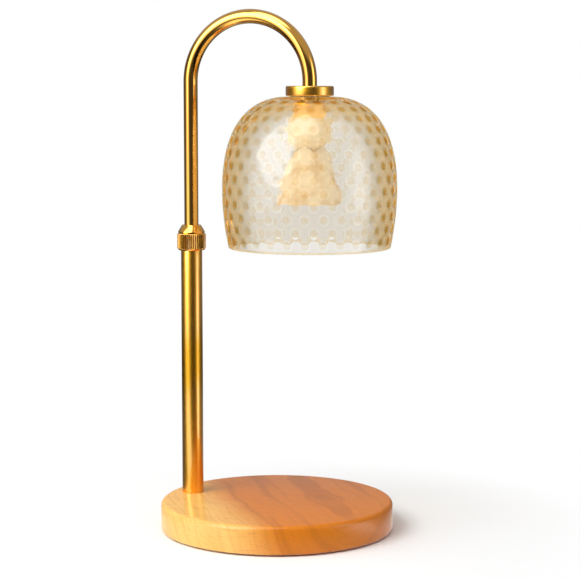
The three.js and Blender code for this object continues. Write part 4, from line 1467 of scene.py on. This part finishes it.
    def _lining(self, inner: Sequence[Vector]) -> bpy.types.Object:
        """Turns the smooth inner face, from the hole's edge down to the rim and round it.

        Args:
            inner: The inner outline.

        Returns:
            The open inner face, whose two edges meet those of the outer one.
        """
        length = self._length(inner)
        pitch = (length - self.rim_round) / self.lining_steps
        stops = [self.rim_round + i * pitch for i in range(self.lining_steps + 1)]
        face = self._walk(inner, stops)
        edge = self._walk(self._outline(0.0), [self.rim_round])[0]
        middle = (self.mouth_radius - self.wall / 2.0, 0.0)
        lip = curved([(edge.x, edge.z), (self.mouth_radius, 0.0), middle], self.lip_steps)
        back = (self.mouth_radius - self.wall, 0.0)
        lip += curved([middle, back, (face[0].x, face[0].z)], self.lip_steps)
        points = [*lip, *face[1:]]
        points.append(Vector((self.hole_radius, 0.0, self.glass.height - self.wall)))
        points.append(Vector((self.hole_radius, 0.0, self.glass.height)))
        return BENCH.turn("inner_face", points, self.glass.seat, self.columns)

    def build_glass(self) -> None:
        """Makes both faces of the glass and joins them into one wall."""
        skin = self._skin(self._outline(0.0))
        lining = self._lining(self._outline(self.wall))
        BENCH.take(skin, lining)
        bpy.ops.object.join()
        bpy.ops.object.mode_set(mode="EDIT")
        BENCH.close_up()
        glass = BENCH.settle(skin, "dimpled_glass", self.glass_sharp)
        adopt(glass, "arm", Finish.shade_glass, "glass_shade")

    def build_cap(self) -> None:
        """Turns the brass cap with its eased edges and the gasket's recess."""
        top = self.cap.height
        plate = top - self.cap_plate
        foot_round, top_round = self.cap_rounds
        profile = closed(
            [
                (self.cap_recess_radius, 0.0, 0.0),
                (self.cap.radius, 0.0, foot_round),
                (self.cap.radius, top, top_round),
                (self.cap_hole_radius, top, self.cap_hole_round),
                (self.cap_hole_radius, plate, 0.0),
                (self.nipple_hole_radius, plate, 0.0),
                (self.nipple_hole_radius, self.cap_recess_roof, 0.0),
                (self.cap_recess_radius, self.cap_recess_roof, 0.0),
            ],
            self.cap_round_steps,
        )
        cap = BENCH.turn("brass_cap", profile, self.cap.seat)
        adopt(cap, "arm", Finish.satin_brass, "shade_cap")

    def build(self) -> None:
        """Builds the glass and the cap."""
        self.build_glass()
        self.build_cap()


@dataclass
class Holder:
    """The neck sleeve and the rounded holder cup inside the shade."""

    neck: Extent = measured("neck_sleeve")
    cup: Extent = measured("holder_cup")
    thread_hole: float = 5.0
    neck_bore: float = 8.2
    neck_plate: float = 1.4
    neck_rounds: Pair = (0.3, 0.5)
    cup_wall: float = 0.9
    cup_plate: float = 1.2
    lip_radius: float = 9.1
    curve_height: float = 5.5
    curve_steps: int = 12

    def build_neck(self) -> None:
        """Turns the sleeve between the glass and the cup."""
        top = self.neck.height
        foot_round, top_round = self.neck_rounds
        profile = closed(
            [
                (self.neck_bore, 0.0, 0.0),
                (self.neck.radius, 0.0, foot_round),
                (self.neck.radius, top, top_round),
                (self.thread_hole, top, 0.0),
                (self.thread_hole, top - self.neck_plate, 0.0),
                (self.neck_bore, top - self.neck_plate, 0.0),
            ]
        )
        neck = BENCH.turn("neck_sleeve_brass", profile, self.neck.seat)
        adopt(neck, "arm", Finish.neck_gold, "neck_sleeve")

    def build_cup(self) -> None:
        """Turns the cup: its round wall outside, its plate and its wall inside."""
        roof = self.cup.height - self.cup_plate
        outside = self._wall(0.0, self.cup.height)
        inside = self._wall(self.cup_wall, roof)
        plate = [Vector((self.thread_hole, 0.0, level)) for level in (self.cup.height, roof)]
        profile = [*outside, *plate, *reversed(inside), outside[0]]
        cup = BENCH.turn("holder_cup_brass", profile, self.cup.seat)
        adopt(cup, "arm", Finish.cup_pearl, "holder_cup")

    def _wall(self, inset: float, top: float) -> list[Vector]:
        """One face of the cup's wall.

        Args:
            inset: How far inside the outer face it lies.
            top: The height at which it ends.

        Returns:
            The points, from the lip to the brim.
        """
        side = self.cup.radius - inset
        bend = self.curve_height
        lip = [(self.lip_radius - inset, 0.0), (side, bend / 2.0), (side, bend)]
        brim = [(side, self.cup.height - bend), (side, top), (self.neck.radius - inset, top)]
        return curved(lip, self.curve_steps) + curved(brim, self.curve_steps)

    def build(self) -> None:
        """Builds the sleeve and the cup."""
        self.build_neck()
        self.build_cup()


@dataclass
class Bulb:
    """The small reflector bulb."""

    reflector: Extent = measured("bulb_reflector")
    lens: Extent = measured("bulb_lens")
    neck_radius: float = 8.7
    neck_reach: float = 0.45
    neck_bore: float = 5.2
    rim_height: float = 3.0
    rim_ease: float = 0.3
    bowl_height: float = 2.1
    bowl_roof: float = 5.4
    bend_share: float = 0.5
    bend_swell: float = 1.2
    bend_wall: float = 2.4
    glass: float = 1.2
    lens_crown: Pair = (9.0, 0.12)
    lens_edge: float = 0.8
    lens_round: float = 0.2
    curve_steps: int = 16

    def build_reflector(self) -> None:
        """Turns the flared reflector."""
        height = self.reflector.height + self.neck_reach
        radius = self.reflector.radius
        bend = self.rim_height + self.bend_share * (height - self.rim_height)
        bend_radius = (radius + self.neck_radius) / 2.0 + self.bend_swell
        inner = radius - self.glass
        outside = [(radius, self.rim_height), (bend_radius, bend), (self.neck_radius, height)]
        inside = [
            (self.neck_bore, height - self.bowl_roof),
            (bend_radius - self.bend_wall, bend),
            (inner - self.glass, self.bowl_height),
        ]
        foot = Vector((inner, 0.0, 0.0))
        profile = [foot, Vector((radius - self.rim_ease, 0.0, 0.0))]
        profile.append(Vector((radius, 0.0, self.rim_ease)))
        profile += curved(outside, self.curve_steps)
        profile.append(Vector((self.neck_bore, 0.0, height)))
        profile += curved(inside, self.curve_steps)
        profile += [Vector((inner, 0.0, self.bowl_height)), foot]
        bulb = BENCH.turn("bulb_reflector_glass", profile, self.reflector.seat)
        adopt(bulb, "bulb", Finish.bulb_glass, "bulb_reflector")

    def build_lens(self) -> None:
        """Turns the slightly crowned front lens."""
        radius, top = self.lens.radius, self.lens.height
        profile = rounded(
            [
                (0.0, 0.0, 0.0),
                (*self.lens_crown, 0.0),
                (radius, self.lens_edge, self.lens_round),
                (radius, top, self.lens_round),
                (0.0, top, 0.0),
            ]
        )
        lens = BENCH.turn("bulb_lens_glass", profile, self.lens.seat)
        adopt(lens, "bulb", Finish.bulb_glass, "bulb_lens")

    def build(self) -> None:
        """Builds the reflector and its lens."""
        self.build_reflector()
        self.build_lens()


# The studio


@dataclass(frozen=True)
class SoftBox:
    """One soft light, hidden from mirrors.

    Angles are in degrees: azimuth to the right of the camera, and elevation over the floor.
    """

    name: str
    azimuth: float
    elevation: float
    distance: float
    size: Pair
    watts: float


@dataclass(frozen=True)
class Window:
    """A bright patch of the world, which only metal and glass mirror.

    Its angles are those of a soft box. It is full within its core and gone past its reach.
    """

    azimuth: float
    elevation: float
    reach: float
    core: float
    level: float


@dataclass
class Studio:
    """The floor, the surroundings, the lights and the camera."""

    azimuth: float = 21.87
    pitch: float = 6.44
    distance: float = 1.0
    lens: float = 111.7
    sensor: float = 36.0
    clip: Pair = (0.01, 50.0)
    aside: float = 0.00734
    aim_height: float = 0.13487
    light_aim: float = 0.14
    daylight: float = 0.34
    horizon_glow: float = 0.5
    glow_fade: Pair = (0.2, 0.55)
    panels_in_glass: float = 0.3
    floor_size: float = 12.0
    paper: Colour = (0.93, 0.93, 0.93)
    paper_roughness: float = 0.9
    paper_reach: Pair = (0.085, 0.2)
    mirror_reach: Pair = (0.07, 0.12)
    dim_start: Pair = (0.3, 0.5)
    dim_end: Pair = (0.7, 1.4)
    dim_share: float = 0.85
    wall_gain: float = 0.9
    brightest: float = 3.0
    windows: tuple[Window, ...] = (
        Window(-50.0, 26.0, reach=29.5, core=18.2, level=6.0),
        Window(-22.0, 64.0, reach=22.0, core=10.0, level=4.6),
    )
    surroundings: tuple[Pair, ...] = (
        (-180.0, 0.45),
        (-160.0, 0.3),
        (-130.0, 0.15),
        (-108.0, 0.1),
        (-90.0, 0.12),
        (-80.0, 0.4),
        (-68.0, 1.5),
        (-46.0, 1.7),
        (-35.0, 0.9),
        (-24.0, 0.15),
        (-10.0, 0.07),
        (30.0, 0.07),
        (44.0, 0.15),
        (55.0, 1.4),
        (63.0, 3.0),
        (73.0, 3.0),
        (81.0, 0.8),
        (92.0, 0.2),
        (110.0, 0.2),
        (150.0, 0.2),
        (165.0, 0.35),
        (180.0, 0.45),
    )
    soft_boxes: tuple[SoftBox, ...] = (
        SoftBox("key_soft_box", -48.0, 42.0, 1.3, (0.9, 0.75), 14.0),
        SoftBox("side_soft_box", -88.0, 20.0, 1.3, (0.5, 0.9), 4.0),
        SoftBox("fill_soft_box", 72.0, 25.0, 1.4, (1.0, 1.0), 1.0),
        SoftBox("top_soft_box", 0.0, 84.0, 1.3, (0.7, 0.7), 4.0),
    )

    def _bearing(self, azimuth: float, elevation: float) -> Vector:
        """The direction in which something lies from the lamp.

        Args:
            azimuth: The angle to the right of the camera, in degrees.
            elevation: The angle over the floor, in degrees.

        Returns:
            The direction, one unit long.
        """
        a = math.radians(self.azimuth + azimuth)
        e = math.radians(elevation)
        return Vector((math.sin(a) * math.cos(e), -math.cos(a) * math.cos(e), math.sin(e)))

    @staticmethod
    def _set_up(name: str, data: bpy.types.ID, place: Vector, back: Vector) -> bpy.types.Object:
        """Puts a camera or a lamp in its place, facing away from a direction.

        Args:
            name: Its name.
            data: The camera or the light.
            place: Where it stands.
            back: The direction behind it.

        Returns:
            The new object.
        """
        thing = bpy.data.objects.new(name, data)
        bpy.context.scene.collection.objects.link(thing)
        thing.location = place
        thing.rotation_mode = "QUATERNION"
        thing.rotation_quaternion = (-back).to_track_quat("-Z", "Y")
        return thing

    def build_camera(self) -> None:
        """Sets the camera where the photo was taken from."""
        back = self._bearing(0.0, self.pitch)
        right = self._bearing(90.0, 0.0)
        data = bpy.data.cameras.new("photo_camera")
        data.lens = self.lens
        data.sensor_width = self.sensor
        data.clip_start, data.clip_end = self.clip
        place = right * self.aside + UP * self.aim_height + back * self.distance
        bpy.context.scene.camera = self._set_up("photo_camera", data, place, back)

    def hang(self, box: SoftBox) -> None:
        """Hangs one soft box that faces the lamp.

        Args:
            box: Its name, place, size and power.
        """
        data = bpy.data.lights.new(box.name, "AREA")
        data.shape = "RECTANGLE"
        data.size, data.size_y = box.size
        data.energy = box.watts
        back = self._bearing(box.azimuth, box.elevation)
        light = self._set_up(box.name, data, UP * self.light_aim + back * box.distance, back)
        light.visible_glossy = False
        light.visible_transmission = False

    def _round_about(self, graph: Graph, spot: Signal) -> Signal:
        """The grey of the surroundings, by its azimuth from the camera's side.

        Args:
            graph: The shader to build it in.
            spot: A direction or a place on the floor.

        Returns:
            The grey, with its brightest panel at 1.
        """
        inputs = {"Vector": spot, "Rotation": (0.0, 0.0, math.radians(90.0 - self.azimuth))}
        x, y, _ = graph.split(graph.node("ShaderNodeMapping", inputs=inputs))
        angle = graph.node("ShaderNodeMath", {"operation": "ARCTAN2"}, {0: y, 1: x})
        stops = []
        for degrees, level in self.surroundings:
            grey = level / self.brightest
            stops.append((degrees / 360.0 + 0.5, (grey, grey, grey)))
        share = angle * (0.5 / math.pi) + 0.5
        return graph.node("ShaderNodeValToRGB", {"stops": stops}, {0: share})

    def _seen(self, graph: Graph) -> Signal:
        """1 for what is looked at, in plain sight or through the glass."""
        through = graph.ray("Is Transmission Ray").either(graph.ray("Transmission Depth"))
        return graph.ray("Is Camera Ray").either(through)

    def _mirrored(self, graph: Graph) -> Signal:
        """1 for what metal mirrors, and less for what is mirrored inside the glass."""
        through = graph.ray("Transmission Depth") * (1.0 - self.panels_in_glass)
        return (graph.ray("Is Glossy Ray") - through).either(0.0)

    def build_floor(self) -> None:
        """Lays the white floor, which shows the lamp's shadow and no horizon."""
        BENCH.clear()
        bpy.ops.mesh.primitive_plane_add(size=self.floor_size, location=(0.0, 0.0, 0.0))
        floor = bpy.context.object
        floor.name = "studio_floor"
        graph = Graph(bpy.data.materials.new("white_floor"))
        spot = graph.node("ShaderNodeTexCoord", output="Object")
        reach = graph.length(spot)
        dim = reach.clamped(*self.dim_start) * (1.0 - reach.clamped(*self.dim_end))
        grey = self._round_about(graph, spot) * (1.0 - dim * self.dim_share)
        paper = graph.principled({"Base Color": self.paper, "Roughness": self.paper_roughness})
        white = graph.glow(WHITE, 1.0)
        panels = graph.glow(grey, self.brightest)
        near_white = graph.mix_shaders(reach.clamped(*self.paper_reach), paper, white)
        mirrored = graph.mix_shaders(reach.clamped(*self.mirror_reach), white, panels)
        surface = graph.mix_shaders(self._seen(graph), paper, near_white)
        surface = graph.mix_shaders(self._mirrored(graph), surface, mirrored)
        floor.data.materials.append(graph.finish(surface))

    def build_world(self) -> None:
        """Makes the surroundings: white to look at, plain for light, panelled in mirrors."""
        world = bpy.data.worlds.new("studio_world")
        bpy.context.scene.world = world
        graph = Graph(world)
        spot = graph.node("ShaderNodeTexCoord", output="Generated")
        _, _, height = graph.split(spot)
        glow = self.horizon_glow / self.brightest
        fade = height.clamped(*self.glow_fade)
        faded = graph.mix(fade, self._round_about(graph, spot), (glow, glow, glow))
        panels = graph.glow(faded, self.brightest * self.wall_gain)
        for window in self.windows:
            inputs = {0: spot, 1: self._bearing(window.azimuth, window.elevation)}
            settings = {"operation": "DOT_PRODUCT"}
            facing = graph.node("ShaderNodeVectorMath", settings, inputs, "Value")
            reach, core = math.radians(window.reach), math.radians(window.core)
            share = facing.clamped(math.cos(reach), math.cos(core))
            panels = graph.mix_shaders(share, panels, graph.glow(WHITE, window.level))
        plain, white = graph.glow(WHITE, self.daylight), graph.glow(WHITE, 1.0)
        light = graph.mix_shaders(self._seen(graph), plain, white)
        graph.finish(graph.mix_shaders(self._mirrored(graph), light, panels))

    def build(self) -> None:
        """Builds the whole studio."""
        self.build_camera()
        self.build_floor()
        self.build_world()
        for box in self.soft_boxes:
            self.hang(box)
        bpy.context.scene.view_settings.view_transform = "Standard"


def dress_nodes() -> None:
    """Gives every CAD node the finish of its material slot."""
    slots = {part["node"]: part["material_slot"] for part in frame["record"]["subparts"]}
    for name, thing in frame["nodes"].items():
        WARDROBE.dress(thing, Finish[slots[name]])


def main() -> None:
    """Builds the lamp and the studio in order."""
    logging.basicConfig(level=logging.INFO, format="%(message)s")
    Studio().build()
    dress_nodes()
    for part in (WoodenBase(), Post(), Arm(), Shade(), Holder(), Bulb()):
        part.build()
        LOG.info("%s is built", type(part).__name__)


if __name__ == "__main__":
    main()
